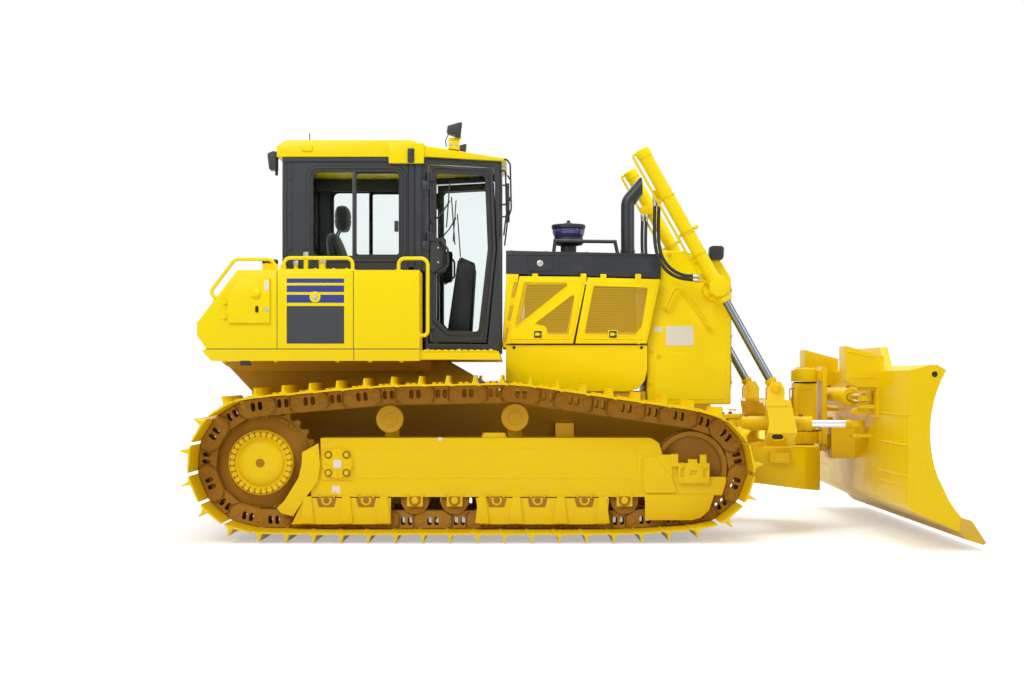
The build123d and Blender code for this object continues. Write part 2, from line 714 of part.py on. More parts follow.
def lamps():
    """Work lamps on the roof's front corners and on the nose, with their brackets."""
    found = []
    for side in (-1, 1):
        inner, outer = side * (CAB_HALF - 200), side * (CAB_HALF - 80)
        bracket = block(-960, -880, inner + side * 40, outer - side * 40, 3000, 3150) - cab_roof()
        found.append(bracket + block(-975, -850, inner, outer, 3145, 3270))
        found.append(block(-2325, -2310, outer, inner, 2985, 3040)
                     + block(-2403, -2325, outer, inner, 2887, 3038))
        foot = block(1150, 1200, side * NOSE_HALF, side * (NOSE_HALF + 40), 2100, 2190)
        found.append(foot + block(1130, 1250, side * (NOSE_HALF + 2), side * (NOSE_HALF + 100), 2185, 2300))
    return Compound(found)


def build_body():
    save("fender_right", fender())
    save("fender_left", other_side(fender()))
    save("utility_door_right", utility_door())
    save("utility_door_left", other_side(utility_door()))
    walls, doors, panes = cab()
    save("cab", walls)
    save("cab_glass", Compound(panes))
    for name, (leaf, pane) in doors.items():
        save(f"cab_door_{name}", leaf)
        save(f"door_glass_{name}", pane)
    save("cab_roof", cab_roof())
    save("seat", seat())
    save("console", console())
    save("hood", hood())
    save("engine_bay", engine_bay())
    save("engine", block(-350, 560, -300, 300, SILL_Z + SKIN, 2000))
    for place in ENGINE_DOORS:
        leaf = engine_door(place)
        save(f"engine_door_{place}_right", leaf)
        save(f"engine_door_{place}_left", other_side(leaf))
    save("radiator_guard", radiator_guard())
    save("front_grille", front_grille())
    save("exhaust_stack", exhaust())
    save("precleaner", precleaner())
    save("handrails", both(handrails()))
    save("lamps", lamps())


# ---------------------------------------------------------------- blade linkage
BASE_EYE_R = 48.0        # a barrel's own eye, on its base pin
BASE_EYE_HALF = 36.0
BARREL_START = 72.0       # from the base pin
BORE_START = 90.0


def cylinder(base, eye, pin, barrel_r, rod_r, gland, inner):
    """Barrel and rod between two eyes, as two solids.

    pin is the direction of the base pin, gland the barrel's far end, measured from that pin,
    and inner the place of the rod's end inside the barrel.
    """
    a, b, across = Vector(*base), Vector(*eye), Vector(*pin) * BASE_EYE_HALF
    d = (b - a).normalized()
    barrel = bar(a + d * BARREL_START, a + d * gland, barrel_r, 16)
    barrel -= bore(a + d * BORE_START, a + d * (gland + 1), rod_r + FIT)
    neck = extrude(Plane(a, z_dir=d) * Rectangle(62, 62), BARREL_START + 8)
    barrel += neck + bar(a - across, a + across, BASE_EYE_R, 12)
    barrel -= bore(a - across * 1.1, a + across * 1.1, BASE_PIN_R + FIT)
    rod = bar(a + d * inner, b, rod_r, 12) + post(b.X, b.Y, EYE_R, b.Z - EYE_HALF, b.Z + EYE_HALF, 12)
    return barrel, rod


LIFT_BARREL_UP = 1250.0   # the barrel's closed end, above the trunnion
LIFT_GLAND = 130.0        # and its open end, below it
LIFT_ROD_UP = 250.0
LIFT_EYE_HALF = 32.0
PIPE_OFFSET = 86.0        # steel pipe behind the barrel
CLAMP_UP = 500.0
PORT_X, PORT_Z = (662.0, 780.0), (2660.0, 2730.0)
FOOT_X, FOOT_Z = (1042.0, 1120.0), (1993.0, 2070.0)
HOSE_Y = 38.0 - LIFT_Y
PORT_Y = (HOSE_Y - 22, HOSE_Y + 22)
HOSE_R = 14.0
HOSES = {    # (X, Z) points of each route, from the port to the foot
    "rear": ((683, 2662), (675, 2462), (683, 2262), (730, 2140), (805, 2058), (920, 2016), (1044, 2013)),
    "front": ((716, 2662), (706, 2454), (716, 2242), (775, 2130), (863, 2065), (955, 2042), (1044, 2048)),
}


def hose(name):
    """Hose of the right-hand lift cylinder: straight runs joined by the largest arcs they allow."""
    points = [Vector(x, HOSE_Y, z) for x, z in HOSES[name]]
    radii = []
    for before, at, after in zip(points, points[1:], points[2:]):
        turn = (at - before).get_angle(after - at)
        run = min((at - before).length, (after - at).length)
        radii.append(0.45 * run / tan(radians(turn / 2)))
    path = FilletPolyline(*points, radius=radii)
    print(f"hose_{name}: length {path.length:.1f}, radii", *[round(r) for r in radii])
    body = sweep(Plane(path @ 0, z_dir=path % 0) * RegularPolygon(HOSE_R, 8), path)
    return body - block(*PORT_X, *PORT_Y, *PORT_Z) - block(*FOOT_X, *PORT_Y, *FOOT_Z)


def lift_cylinder():
    base = (LIFT_TRUNNION[0], -LIFT_Y, LIFT_TRUNNION[1])
    eye = (LIFT_EYE[0], -LIFT_Y, LIFT_EYE[1])
    a, d = Vector(*base), (Vector(*eye) - Vector(*base)).normalized()
    rear = Vector(d.Z, 0, -d.X)
    barrel = bar(a - d * LIFT_BARREL_UP, a + d * LIFT_GLAND, LIFT_BARREL_R, 12)
    barrel += bar(a - d * LIFT_BARREL_UP, a - d * (LIFT_BARREL_UP - 75), LIFT_BARREL_R + 6, 12)
    barrel += extrude(Plane(a - d * 60, z_dir=d) * Rectangle(124, 124), 130)
    barrel += disc(*LIFT_TRUNNION, 75, -LIFT_Y - 70, -LIFT_Y + LIFT_BARREL_R + 20, 12)
    pipe = ((LIFT_BARREL_UP - 12, 20), (LIFT_BARREL_UP - 12, PIPE_OFFSET), (115, PIPE_OFFSET), (45, 40))
    barrel += tube([a - d * up + rear * out for up, out in pipe], 10)
    clamp = a - d * CLAMP_UP
    barrel += bar(clamp - d * 14, clamp + d * 14, LIFT_BARREL_R + 8, 12)
    barrel += bar(clamp - rear * 100, clamp + rear * (PIPE_OFFSET + 12), 14, 6)
    # blocks that the two hoses screw into: one high on the barrel, one behind the trunnion
    barrel += block(*PORT_X, *PORT_Y, *PORT_Z) + block(*FOOT_X, *PORT_Y, *FOOT_Z)
    barrel -= bore((base[0], -LIFT_Y + 46, base[2]), (base[0], -LIFT_Y + 90, base[2]), TRUNNION_R + FIT, 12)
    barrel -= bore(a - d * (LIFT_BARREL_UP - 70), a + d * (LIFT_GLAND + 1), LIFT_ROD_R + FIT)
    rod = bar(a - d * LIFT_ROD_UP, Vector(*eye), LIFT_ROD_R, 12)
    return barrel, rod + disc(*LIFT_EYE, EYE_R, -LIFT_Y - LIFT_EYE_HALF, -LIFT_Y + LIFT_EYE_HALF, 12)


HOOP_OUT = 752.0          # the bridge's outer face, clear of the angle cylinder at full swing
HOOP_IN = 380.0           # its inner leg, which stands on the cross box
HOOP_FOOT = 640.0         # its outer foot, on the push arm's side
HOOP_TOP_Z = 1060.0
HOOP_PLATE = 24.0


def lift_bridge():
    """Right-hand bridge over the angle cylinder, which carries the lift cylinder's eye."""
    out, foot, low = -HOOP_OUT, -HOOP_FOOT, -HOOP_IN
    top, under = HOOP_TOP_Z, HOOP_TOP_Z - HOOP_PLATE
    hoop = extrude(Plane.YZ.offset(1500) * make_face(Polyline(
        (out, top), (out, 800), (foot, 690), (foot, 557), (foot + 22, 557), (foot + 22, 698),
        (out + 22, 810), (out + 22, under), (low - 22, under), (low - 22, top), close=True)), 340)
    hoop += block(1712, 1742, low, low - 22, 670, top)
    hoop &= outline(((1544, 500), (1544, 735), (1576, 878), (1544, 1070), (1742, 1070),
                     (1798, 807), (1774, 695), (1774, 500)), -800, -300)
    for y0, y1 in ((-LIFT_Y - 62, -LIFT_Y - 38), (-LIFT_Y + 38, -LIFT_Y + 62)):
        hoop += outline(((1563, 1050), (1699, 1050), (1699, 1149), (1665, 1206), (1597, 1206),
                         (1563, 1149)), y0, y1)
    for y in (-LIFT_Y - 76, -LIFT_Y + 62):
        hoop += disc(*LIFT_EYE, 30, y, y + 14, 12)
    return hoop - push_arm() - cross_box()


def angle_lugs():
    """Ears on the right-hand push arm for the angle cylinder's base."""
    x, y, z = ANGLE_BASE
    lugs = block(x - 80, x - 58, -y - 50, -y + 50, 640, z + 72)
    for z0 in (z - 72, z + 42):
        lugs += block(x - 60, x + 50, -y - 50, -y + 50, z0, z0 + 30)
    lugs += block(x - 80, x + 50, -y - 50, -y + 50, 640, z - 70)
    return lugs + post(x, -y, BASE_PIN_R, z - 71, z + 71)


def push_arm():
    """Right-hand arm from the pivot on the main frame to the cross box."""
    px, pz = FRAME_PIVOT
    arm = outline(((px - 90, pz - 60), (px - 60, pz + 90), (900, 640), (1544, 724), (1774, 700),
                   (1774, 420), (1544, 413), (900, 430)), -ARM_OUT, -ARM_IN)
    return arm - bore((px, -ARM_OUT - 1, pz), (px, -ARM_IN + 1, pz), PIVOT_R + FIT, 12)


def cross_box():
    """Round-nosed box that joins the two arms and carries the king post."""
    corners = ((1774, -640), (1885, -610), (1975, -535), (2034, -430), (2052, -310))
    front = [*corners, *[(x, -y) for x, y in reversed(corners)]]
    cross = plan([(1457, -640), *front, (1457, 640), (1457, ARM_IN), (1620, ARM_IN), (1700, 300),
                  (1700, -300), (1620, -ARM_IN), (1457, -ARM_IN)], 320, 690)
    return cross & outline(((1400, 410), (1400, 680), (2100, 680), (2100, 318)), -700, 700)


def c_frame():
    """Push arms, the angle cylinders' ears, the cross box and the king post."""
    side = push_arm() + angle_lugs()
    frame = cross_box() + side + other_side(side) + post(KING_X, 0, KING_R, 600, 1200)
    tower = block(KING_X - 100, KING_X + 80, -85, 85, 800, 1190)
    for y0, y1 in ((-86, -77), (77, 86)):
        tower -= block(KING_X - 72, KING_X + 52, y0, y1, 850, 1140)
    gusset = ((1740, 670), (1845, 670), (1855, 805), (1900, 805), (1900, 1150))
    return frame + tower + outline(gusset, -20, 20)


def swing_yoke():
    """Turns on the king post: two collars, the upright plate, the tilt pin and its cylinder's base."""
    back, front = 2110.0, 2145.0
    yoke = post(KING_X, 0, 118, 1206, 1299, 16) + post(KING_X, 0, 124, 690, 790, 16)
    yoke -= bore((KING_X, 0, 680), (KING_X, 0, 800), KING_R + FIT, 16)
    yoke += block(KING_X + 80, front, -70, 70, 1212, 1299) + block(KING_X + 95, front, -90, 90, 690, 790)
    yoke += block(back, front, -150, 150, 690, 1330) + block(back, front, -80, 80, 630, 690)
    yoke += bar((front - 5, 0, TILT_Z), (2290, 0, TILT_Z), TILT_PIN_R)
    x, y, z = TILT_BASE
    # a clevis whose pin lies along X, so that the cylinder follows the blade's tilt
    yoke += block(back, front, 100, y + 50, z - 60, z + 60)
    yoke += block(back, x + 70, y + 52, y + 80, z - 60, z + 60)
    yoke += block(back, front, y + 45, y + 80, z - 60, z + 60)
    for x0 in (x - 70, x + 42):
        yoke += block(x0, x0 + 28, y - 50, y + 60, z - 60, z + 60)
    yoke += block(back, x - 60, y - 50, y + 60, z - 60, z + 60)
    return yoke + bar((x - 60, y, z), (x + 69, y, z), BASE_PIN_R)


BLADE_FRONT = ((2643, 1292), (2529, 843), (2754, 236))


def blade_section():
    arc = ThreePointArc(*BLADE_FRONT)
    rest = Polyline(BLADE_FRONT[2], (2736, 136), (2401, 290), (2375, 325), (2379, 1290),
                    (2429, 1299), (2529, 1328), (2579, 1328), BLADE_FRONT[0])
    return make_face([*arc.edges(), *rest.edges()])


def blade():
    body = extrude(Plane.XZ.offset(-BLADE_HALF) * blade_section(), 2 * BLADE_HALF)
    hump = extrude(Plane.YZ.offset(2480) * make_face(Polyline(
        (-800, 1300), (-600, 1480), (600, 1480), (800, 1300), close=True)), 60)
    body += hump
    for s in (-1, 1):
        body += outline(((2123, 1220), (2123, 1482), (2418, 1402), (2418, 1250), (2379, 1163),
                         (2230, 1163)), s * 770, s * 1030)
        x, y, z = ANGLE_EYE
        for z0 in (z - ANGLE_EAR_GAP - EAR, z + ANGLE_EAR_GAP):
            body += block(x - 48, BLADE_BACK_X + 5, s * y - 60, s * y + 60, z0, z0 + EAR)
    x, y, z = TILT_EYE
    body += block(BLADE_BACK_X - PAD, BLADE_BACK_X + 5, y - 125, y + 105, z - 150, z + 140)
    for z0 in (z - TILT_EAR_GAP - EAR, z + TILT_EAR_GAP):
        body += block(x - 50, BLADE_BACK_X + 5, y - 60, y + 60, z0, z0 + EAR)
    body += block(2185, BLADE_BACK_X + 5, -130, 130, TILT_Z - 130, TILT_Z + 130)
    body -= bore((2100, 0, TILT_Z), (2300, 0, TILT_Z), TILT_PIN_R + FIT, 16)
    return body


def cutting_edge():
    return outline(((2754.5, 235), (2829, 215), (2931.5, 58), (2914, 43), (2793, 79),
                    (2736.5, 135)), -BLADE_HALF, BLADE_HALF)


def build_blade():
    barrel, rod = lift_cylinder()
    save("lift_cylinder_right", barrel)
    save("lift_cylinder_left", other_side(barrel))
    save("lift_rod_right", rod)
    save("lift_rod_left", other_side(rod))
    for name in HOSES:
        save(f"lift_hose_{name}_right", hose(name))
        save(f"lift_hose_{name}_left", other_side(hose(name)))
    bx, by, bz = ANGLE_BASE
    ex, ey, ez = ANGLE_EYE
    barrel, rod = cylinder((bx, -by, bz), (ex, -ey, ez), (0, 0, 1), ANGLE_BARREL_R, ANGLE_ROD_R,
                           ANGLE_GLAND, ANGLE_ROD_IN)
    save("angle_cylinder_right", barrel)
    save("angle_cylinder_left", other_side(barrel))
    save("angle_rod_right", rod)
    save("angle_rod_left", other_side(rod))
    barrel, rod = cylinder(TILT_BASE, TILT_EYE, (1, 0, 0), TILT_BARREL_R, TILT_ROD_R,
                           TILT_GLAND, TILT_ROD_IN)
    save("tilt_cylinder", barrel)
    save("tilt_rod", rod)
    save("c_frame", c_frame())
    save("lift_bridge_right", lift_bridge())
    save("lift_bridge_left", other_side(lift_bridge()))
    save("swing_yoke", swing_yoke())
    save("blade", blade())
    save("cutting_edge", cutting_edge())


if __name__ == "__main__":
    os.makedirs("parts", exist_ok=True)
    build_undercarriage()
    build_body()
    build_blade()
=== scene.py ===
import bmesh
import bpy
import json
from math import asin, atan2, cos, hypot, pi, radians, sin, tan
from mathutils import Matrix, Vector


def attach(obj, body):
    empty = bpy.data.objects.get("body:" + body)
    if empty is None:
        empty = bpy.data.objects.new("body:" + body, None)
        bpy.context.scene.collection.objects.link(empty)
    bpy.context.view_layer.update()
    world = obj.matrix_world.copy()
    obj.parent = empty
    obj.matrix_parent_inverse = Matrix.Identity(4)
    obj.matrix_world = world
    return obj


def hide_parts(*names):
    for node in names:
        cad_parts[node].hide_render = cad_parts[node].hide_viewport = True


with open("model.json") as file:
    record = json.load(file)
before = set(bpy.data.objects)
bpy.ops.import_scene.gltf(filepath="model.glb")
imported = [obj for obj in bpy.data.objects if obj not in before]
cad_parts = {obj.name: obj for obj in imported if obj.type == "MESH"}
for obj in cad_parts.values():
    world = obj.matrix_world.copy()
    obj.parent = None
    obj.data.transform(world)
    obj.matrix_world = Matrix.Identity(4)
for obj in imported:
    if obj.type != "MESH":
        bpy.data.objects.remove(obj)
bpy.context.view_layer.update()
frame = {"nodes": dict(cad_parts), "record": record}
BODY_NODES = frame["record"]["behaviour"]["bodies"]
MM = 0.001
SIDES = (("right", -1), ("left", 1))
OUT = (0, -1, 0)           # outwards on the right-hand side
UP = (0, 0, 1)
DUST_TOP = 1.3             # metres above the ground at which the dust ends


# ------------------------------------------------------------------ node groups for finishes
def group(name, inputs, outputs):
    tree = bpy.data.node_groups.new(name, "ShaderNodeTree")
    for title, kind, value in inputs:
        socket = tree.interface.new_socket(title, in_out="INPUT", socket_type=kind)
        socket.default_value = value
    for title, kind in outputs:
        tree.interface.new_socket(title, in_out="OUTPUT", socket_type=kind)
    return tree, tree.nodes.new("NodeGroupInput"), tree.nodes.new("NodeGroupOutput")


def mixed(tree, kind="RGBA", blend="MIX"):
    """A Mix node and its factor, two inputs and result."""
    node = tree.nodes.new("ShaderNodeMix")
    node.data_type = kind
    node.blend_type = blend
    pick = {"RGBA": (6, 7, 2), "FLOAT": (2, 3, 0)}[kind]
    return node.inputs[0], node.inputs[pick[0]], node.inputs[pick[1]], node.outputs[pick[2]]


def calculated(tree, operation, *terms):
    """A Math node's result; each term is a number or another node's output."""
    node = tree.nodes.new("ShaderNodeMath")
    node.operation = operation
    for socket, term in zip(node.inputs, terms):
        if isinstance(term, float):
            socket.default_value = term
        else:
            tree.links.new(term, socket)
    return node.outputs[0]


def noise(tree, vector, scale, detail=4.0, roughness=0.55):
    node = tree.nodes.new("ShaderNodeTexNoise")
    node.inputs["Detail"].default_value = detail
    node.inputs["Roughness"].default_value = roughness
    if isinstance(scale, float):
        node.inputs["Scale"].default_value = scale
    else:
        tree.links.new(scale, node.inputs["Scale"])
    tree.links.new(vector, node.inputs["Vector"])
    return node.outputs["Fac"]


def ramp(tree, factor, low, high, start=0.0, end=1.0):
    node = tree.nodes.new("ShaderNodeMapRange")
    node.clamp = True
    for title, value in (("From Min", low), ("From Max", high), ("To Min", start), ("To Max", end)):
        node.inputs[title].default_value = value
    tree.links.new(factor, node.inputs["Value"])
    return node.outputs["Result"]


def paint_film_group():
    """Sprayed paint: slight cloudiness, orange peel and dust that has settled low down."""
    tree, given, out = group("paint film", (
        ("Paint", "NodeSocketColor", (1, 1, 1, 1)), ("Dust", "NodeSocketColor", (0.45, 0.33, 0.2, 1)),
        ("Cloud", "NodeSocketFloat", 0.06), ("Dust Amount", "NodeSocketFloat", 0.1),
        ("Peel", "NodeSocketFloat", 160.0), ("Roughness", "NodeSocketFloat", 0.35)),
        (("Color", "NodeSocketColor"), ("Roughness", "NodeSocketFloat"), ("Height", "NodeSocketFloat")))
    links = tree.links
    place = tree.nodes.new("ShaderNodeTexCoord").outputs["Object"]
    cloud = ramp(tree, noise(tree, place, 1.7), 0.3, 0.7)
    factor, a, b, shaded = mixed(tree, blend="MULTIPLY")
    links.new(calculated(tree, "MULTIPLY", cloud, given.outputs["Cloud"]), factor)
    links.new(given.outputs["Paint"], a)
    b.default_value = (0.55, 0.5, 0.4, 1)
    # dust settles near the ground
    split = tree.nodes.new("ShaderNodeSeparateXYZ")
    links.new(place, split.inputs[0])
    low = ramp(tree, split.outputs["Z"], DUST_TOP, 0.0)
    specks = ramp(tree, noise(tree, place, 9.0, 8.0, 0.7), 0.42, 0.7)
    settled = calculated(tree, "MULTIPLY", low, specks)
    factor, a, b, dusty = mixed(tree)
    links.new(calculated(tree, "MULTIPLY", settled, given.outputs["Dust Amount"]), factor)
    links.new(shaded, a)
    links.new(given.outputs["Dust"], b)
    links.new(dusty, out.inputs["Color"])
    uneven = ramp(tree, noise(tree, place, 6.0), 0.3, 0.7, -0.06, 0.08)
    links.new(calculated(tree, "ADD", uneven, given.outputs["Roughness"]), out.inputs["Roughness"])
    links.new(noise(tree, place, given.outputs["Peel"], 2.0), out.inputs["Height"])
    return tree


PAINT_FILM = paint_film_group()


def finish(name, colour, rough=0.35, cloud=0.06, dust=0.1, peel=160.0, bump=0.12, **sockets):
    """A material that gets its colour, roughness and relief from the paint film group."""
    material = bpy.data.materials.new(name)
    material.use_nodes = True
    nodes, links = material.node_tree.nodes, material.node_tree.links
    shader = nodes["Principled BSDF"]
    film = nodes.new("ShaderNodeGroup")
    film.node_tree = PAINT_FILM
    for title, value in (("Paint", (*colour, 1)), ("Cloud", cloud), ("Dust Amount", dust),
                         ("Peel", peel), ("Roughness", rough)):
        film.inputs[title].default_value = value
    links.new(film.outputs["Color"], shader.inputs["Base Color"])
    links.new(film.outputs["Roughness"], shader.inputs["Roughness"])
    relief = nodes.new("ShaderNodeBump")
    relief.inputs["Strength"].default_value = bump
    relief.inputs["Distance"].default_value = 0.002
    links.new(film.outputs["Height"], relief.inputs["Height"])
    links.new(relief.outputs["Normal"], shader.inputs["Normal"])
    for title, value in sockets.items():
        shader.inputs[title.replace("_", " ")].default_value = value
    return material


YELLOW = (0.9, 0.62, 0.0)
paint = finish("machine yellow", YELLOW, rough=0.36, bump=0.06, Specular_IOR_Level=0.22)
# a brighter copy of the yellow paint, painted light for the engine bay, engine doors and radiator housing,
# which the lamps light less
bodywork_painted_light = finish("bodywork yellow", (1.0, 0.79, 0.0), rough=0.33, cloud=0.02, dust=0.04, bump=0.05,
                  Specular_IOR_Level=0.22)
# a brighter copy of the yellow paint, painted light for the tanks, fenders, roof, rails and other parts that
# face the light
yellow_painted_light = finish("yellow with painted light", (0.94, 0.73, 0.0), rough=0.3, cloud=0.02, dust=0.03, bump=0.04,
               Specular_IOR_Level=0.22)
# the yellow paint darkened to brown, painted shade for the track links, pins, sprockets, idlers, track
# rollers and other parts that lie in shade
yellow_painted_shade = finish("yellow paint with painted shade", (0.4, 0.19, 0.01), rough=0.5, cloud=0.15, dust=0.2, peel=90.0, bump=0.35,
              Specular_IOR_Level=0.25)
# the yellow paint darkened, painted shade for the main frame, drawbar and carrier rollers
hull = finish("hull yellow with painted shade", (0.62, 0.35, 0.005), rough=0.45, cloud=0.12, dust=0.2, peel=90.0,
              Specular_IOR_Level=0.25)
charcoal = finish("cab charcoal", (0.013, 0.016, 0.023), rough=0.4, cloud=0.3, peel=220.0, bump=0.1)
rubber = finish("seal rubber", (0.012, 0.012, 0.014), rough=0.55, cloud=0.3, peel=300.0, bump=0.2)
plastic = finish("moulded black", (0.02, 0.02, 0.023), rough=0.5, cloud=0.3, peel=500.0, bump=0.25)
chrome = finish("plated rod", (0.75, 0.76, 0.78), rough=0.08, cloud=0.1, dust=0.0, bump=0.02, Metallic=1.0)
dark_rod = finish("dark plated rod", (0.2, 0.22, 0.25), rough=0.22, cloud=0.1, dust=0.0, bump=0.02,
                  Metallic=1.0)
zinc = finish("zinc bolt", (0.5, 0.5, 0.48), rough=0.35, cloud=0.3, dust=0.0, Metallic=0.9)
# near black, painted shade inside holes and slots
painted_hole_shade = finish("painted shade in holes", (0.02, 0.014, 0.006), rough=0.8, cloud=0.3)
blue = finish("blue band", (0.02, 0.035, 0.25), rough=0.3, cloud=0.05)
panel_dark = finish("dark band", (0.03, 0.033, 0.04), rough=0.35, cloud=0.1)
label_white = finish("blank plate", (0.8, 0.8, 0.78), rough=0.4, cloud=0.1)
seat_cloth = finish("seat cloth", (0.025, 0.027, 0.03), rough=0.85, cloud=0.3, peel=700.0, bump=0.6,
                    Sheen_Weight=0.4)
steel = finish("worn edge steel", (0.78, 0.47, 0.0), rough=0.45, cloud=0.25, dust=0.5)
engine_paint = finish("engine casting", (0.12, 0.085, 0.02), rough=0.55, cloud=0.4)
screen = finish("screen yellow", (0.72, 0.46, 0.01), rough=0.5, cloud=0.1)
bowl_blue = finish("dust bowl blue", (0.05, 0.045, 0.22), rough=0.15, cloud=0.1, dust=0.0, Coat_Weight=0.5)
clear_lens = finish("lamp face", (0.75, 0.77, 0.78), rough=0.12, cloud=0.2, dust=0.0, peel=60.0, bump=0.4,
                    Coat_Weight=0.8)


def glazing(name, colour):
    """Tinted pane: clear glass that darkens a little what is behind it."""
    material = bpy.data.materials.new(name)
    material.use_nodes = True
    nodes, links = material.node_tree.nodes, material.node_tree.links
    shader = nodes["Principled BSDF"]
    shader.inputs["Transmission Weight"].default_value = 1.0
    shader.inputs["IOR"].default_value = 1.05
    place = nodes.new("ShaderNodeTexCoord").outputs["Object"]
    factor, a, b, tint = mixed(material.node_tree)
    links.new(ramp(material.node_tree, noise(material.node_tree, place, 2.0), 0.3, 0.7), factor)
    a.default_value = (*colour, 1)
    b.default_value = (*[c * 0.96 for c in colour], 1)
    links.new(tint, shader.inputs["Base Color"])
    links.new(ramp(material.node_tree, noise(material.node_tree, place, 5.0), 0.3, 0.7, 0.02, 0.04),
              shader.inputs["Roughness"])
    return material


glass = glazing("cab glass", (0.93, 0.975, 0.97))


# ------------------------------------------------------------------ meshes in millimetres
def circle(centre, u, v, radius, count):
    """Points round a centre, in the plane of two unit vectors."""
    return [centre + (u * cos(2 * pi * i / count) + v * sin(2 * pi * i / count)) * radius
            for i in range(count)]


def walls(part, loops):
    """Four-sided faces from each loop of vertices to the next."""
    for low, high in zip(loops, loops[1:]):
        for i in range(len(low)):
            j = (i + 1) % len(low)
            part.faces.new((low[i], low[j], high[j], high[i]))


def skinned(part, loops):
    """Walls through the loops, closed by a face at each end."""
    walls(part, loops)
    part.faces.new(loops[0][::-1])
    part.faces.new(loops[-1])
    bmesh.ops.recalc_face_normals(part, faces=part.faces)


def of_kind(geometry, kind):
    return [item for item in geometry if isinstance(item, kind)]


class Shape:
    """A mesh being built, in millimetres; piece() makes it an object that rides on a body."""

    def __init__(self, *materials):
        self.bm = bmesh.new()
        self.materials = materials or (paint,)

    def take(self, part, material=0):
        """Adds a small closed mesh, its faces turned outwards."""
        if part.calc_volume(signed=True) < 0:
            bmesh.ops.reverse_faces(part, faces=part.faces)
        for face in part.faces:
            face.material_index = material
        scratch = bpy.data.meshes.new("scratch")
        part.to_mesh(scratch)
        part.free()
        self.bm.from_mesh(scratch)
        bpy.data.meshes.remove(scratch)

    def solid(self, rings, round_=0.0, material=0, segments=2):
        """A closed solid through rings of points that all have the same count."""
        part = bmesh.new()
        skinned(part, [[part.verts.new(p) for p in loop] for loop in rings])
        if round_:
            bmesh.ops.bevel(part, geom=part.edges[:], offset=round_, segments=segments, profile=0.6,
                            affect="EDGES", clamp_overlap=True)
        self.take(part, material)

    def prism(self, outline, axis, start, end, round_=3.0, material=0):
        """An outline extruded along an axis. Outlines are (X, Z) for Y, (Y, Z) for X, (X, Y) for Z."""
        place = {"Y": lambda u, v, t: (u, t, v), "X": lambda u, v, t: (t, u, v),
                 "Z": lambda u, v, t: (u, v, t)}[axis]
        rings = [[place(u, v, t) for u, v in outline] for t in (start, end)]
        self.solid(rings, round_, material)

    def block(self, x0, x1, y0, y1, z0, z1, round_=3.0, material=0):
        self.prism([(x0, z0), (x1, z0), (x1, z1), (x0, z1)], "Y", y0, y1, round_, material)

    def lathe(self, profile, centre, axis, count=32, material=0, closed=False):
        """Turned shape: profile of (radius, along), about an axis through centre; closed is a ring."""
        part = bmesh.new()
        d = Vector(axis).normalized()
        u = d.orthogonal().normalized()
        v = d.cross(u)
        rings = []
        for r, h in profile:
            base = Vector(centre) + d * h
            if r < 1e-6:
                rings.append([part.verts.new(base)])
            else:
                rings.append([part.verts.new(p) for p in circle(base, u, v, r, count)])
        for low, high in zip(rings, rings[1:] + rings[:1] if closed else rings[1:]):
            for i in range(count):
                j = (i + 1) % count
                if len(low) == 1:
                    part.faces.new((low[0], high[j], high[i]))
                elif len(high) == 1:
                    part.faces.new((low[i], low[j], high[0]))
                else:
                    part.faces.new((low[i], low[j], high[j], high[i]))
        for ends, flip in ((rings[0], True), (rings[-1], False)):
            if len(ends) > 1 and not closed:
                part.faces.new(ends[::-1] if flip else ends)
        bmesh.ops.recalc_face_normals(part, faces=part.faces)
        self.take(part, material)

    def rod(self, start, end, radius, count=24, material=0, chamfer=2.0):
        a, b = Vector(start), Vector(end)
        length = (b - a).length
        c = min(chamfer, length / 3, radius / 2)
        self.lathe([(radius - c, 0), (radius, c), (radius, length - c), (radius - c, length)], a, b - a,
                   count, material)

    def tube(self, points, radius, bend=40.0, count=12, material=0):
        """A round bar along a path whose corners are rounded to a bend radius."""
        path = rounded_path(points, bend)
        part = bmesh.new()
        side = (path[1] - path[0]).orthogonal().normalized()
        rings = []
        for i, p in enumerate(path):
            along = (path[min(i + 1, len(path) - 1)] - path[max(i - 1, 0)]).normalized()
            side = (side - along * side.dot(along)).normalized()
            up = along.cross(side)
            rings.append([part.verts.new(spot) for spot in circle(p, side, up, radius, count)])
        skinned(part, rings)
        self.take(part, material)

    def mirrored(self):
        """Adds the other side's copy of everything so far."""
        geometry = self.bm.verts[:] + self.bm.edges[:] + self.bm.faces[:]
        copy = bmesh.ops.duplicate(self.bm, geom=geometry)["geom"]
        bmesh.ops.scale(self.bm, vec=(1, -1, 1), verts=of_kind(copy, bmesh.types.BMVert))
        bmesh.ops.reverse_faces(self.bm, faces=of_kind(copy, bmesh.types.BMFace))

    def piece(self, name, body, *nodes, smooth=35.0):
        bmesh.ops.scale(self.bm, vec=(MM, MM, MM), verts=self.bm.verts)
        mesh = bpy.data.meshes.new(name)
        self.bm.to_mesh(mesh)
        self.bm.free()
        return placed(name, mesh, self.materials, body, nodes, smooth)


def rounded_path(points, bend):
    """The path's corners as short arcs that touch both runs."""
    points = [Vector(p) for p in points]
    path = [points[0]]
    for before, corner, after in zip(points, points[1:], points[2:]):
        a, b = (before - corner).normalized(), (after - corner).normalized()
        angle = a.angle(b)
        cut = min(bend / tan(angle / 2), (before - corner).length / 2.02, (after - corner).length / 2.02)
        radius = cut * tan(angle / 2)
        centre = corner + (a + b).normalized() * (radius / sin(angle / 2))
        start, end = corner + a * cut - centre, corner + b * cut - centre
        for i in range(7):
            path.append(centre + start.slerp(end, i / 6).normalized() * radius)
    path.append(points[-1])
    return path


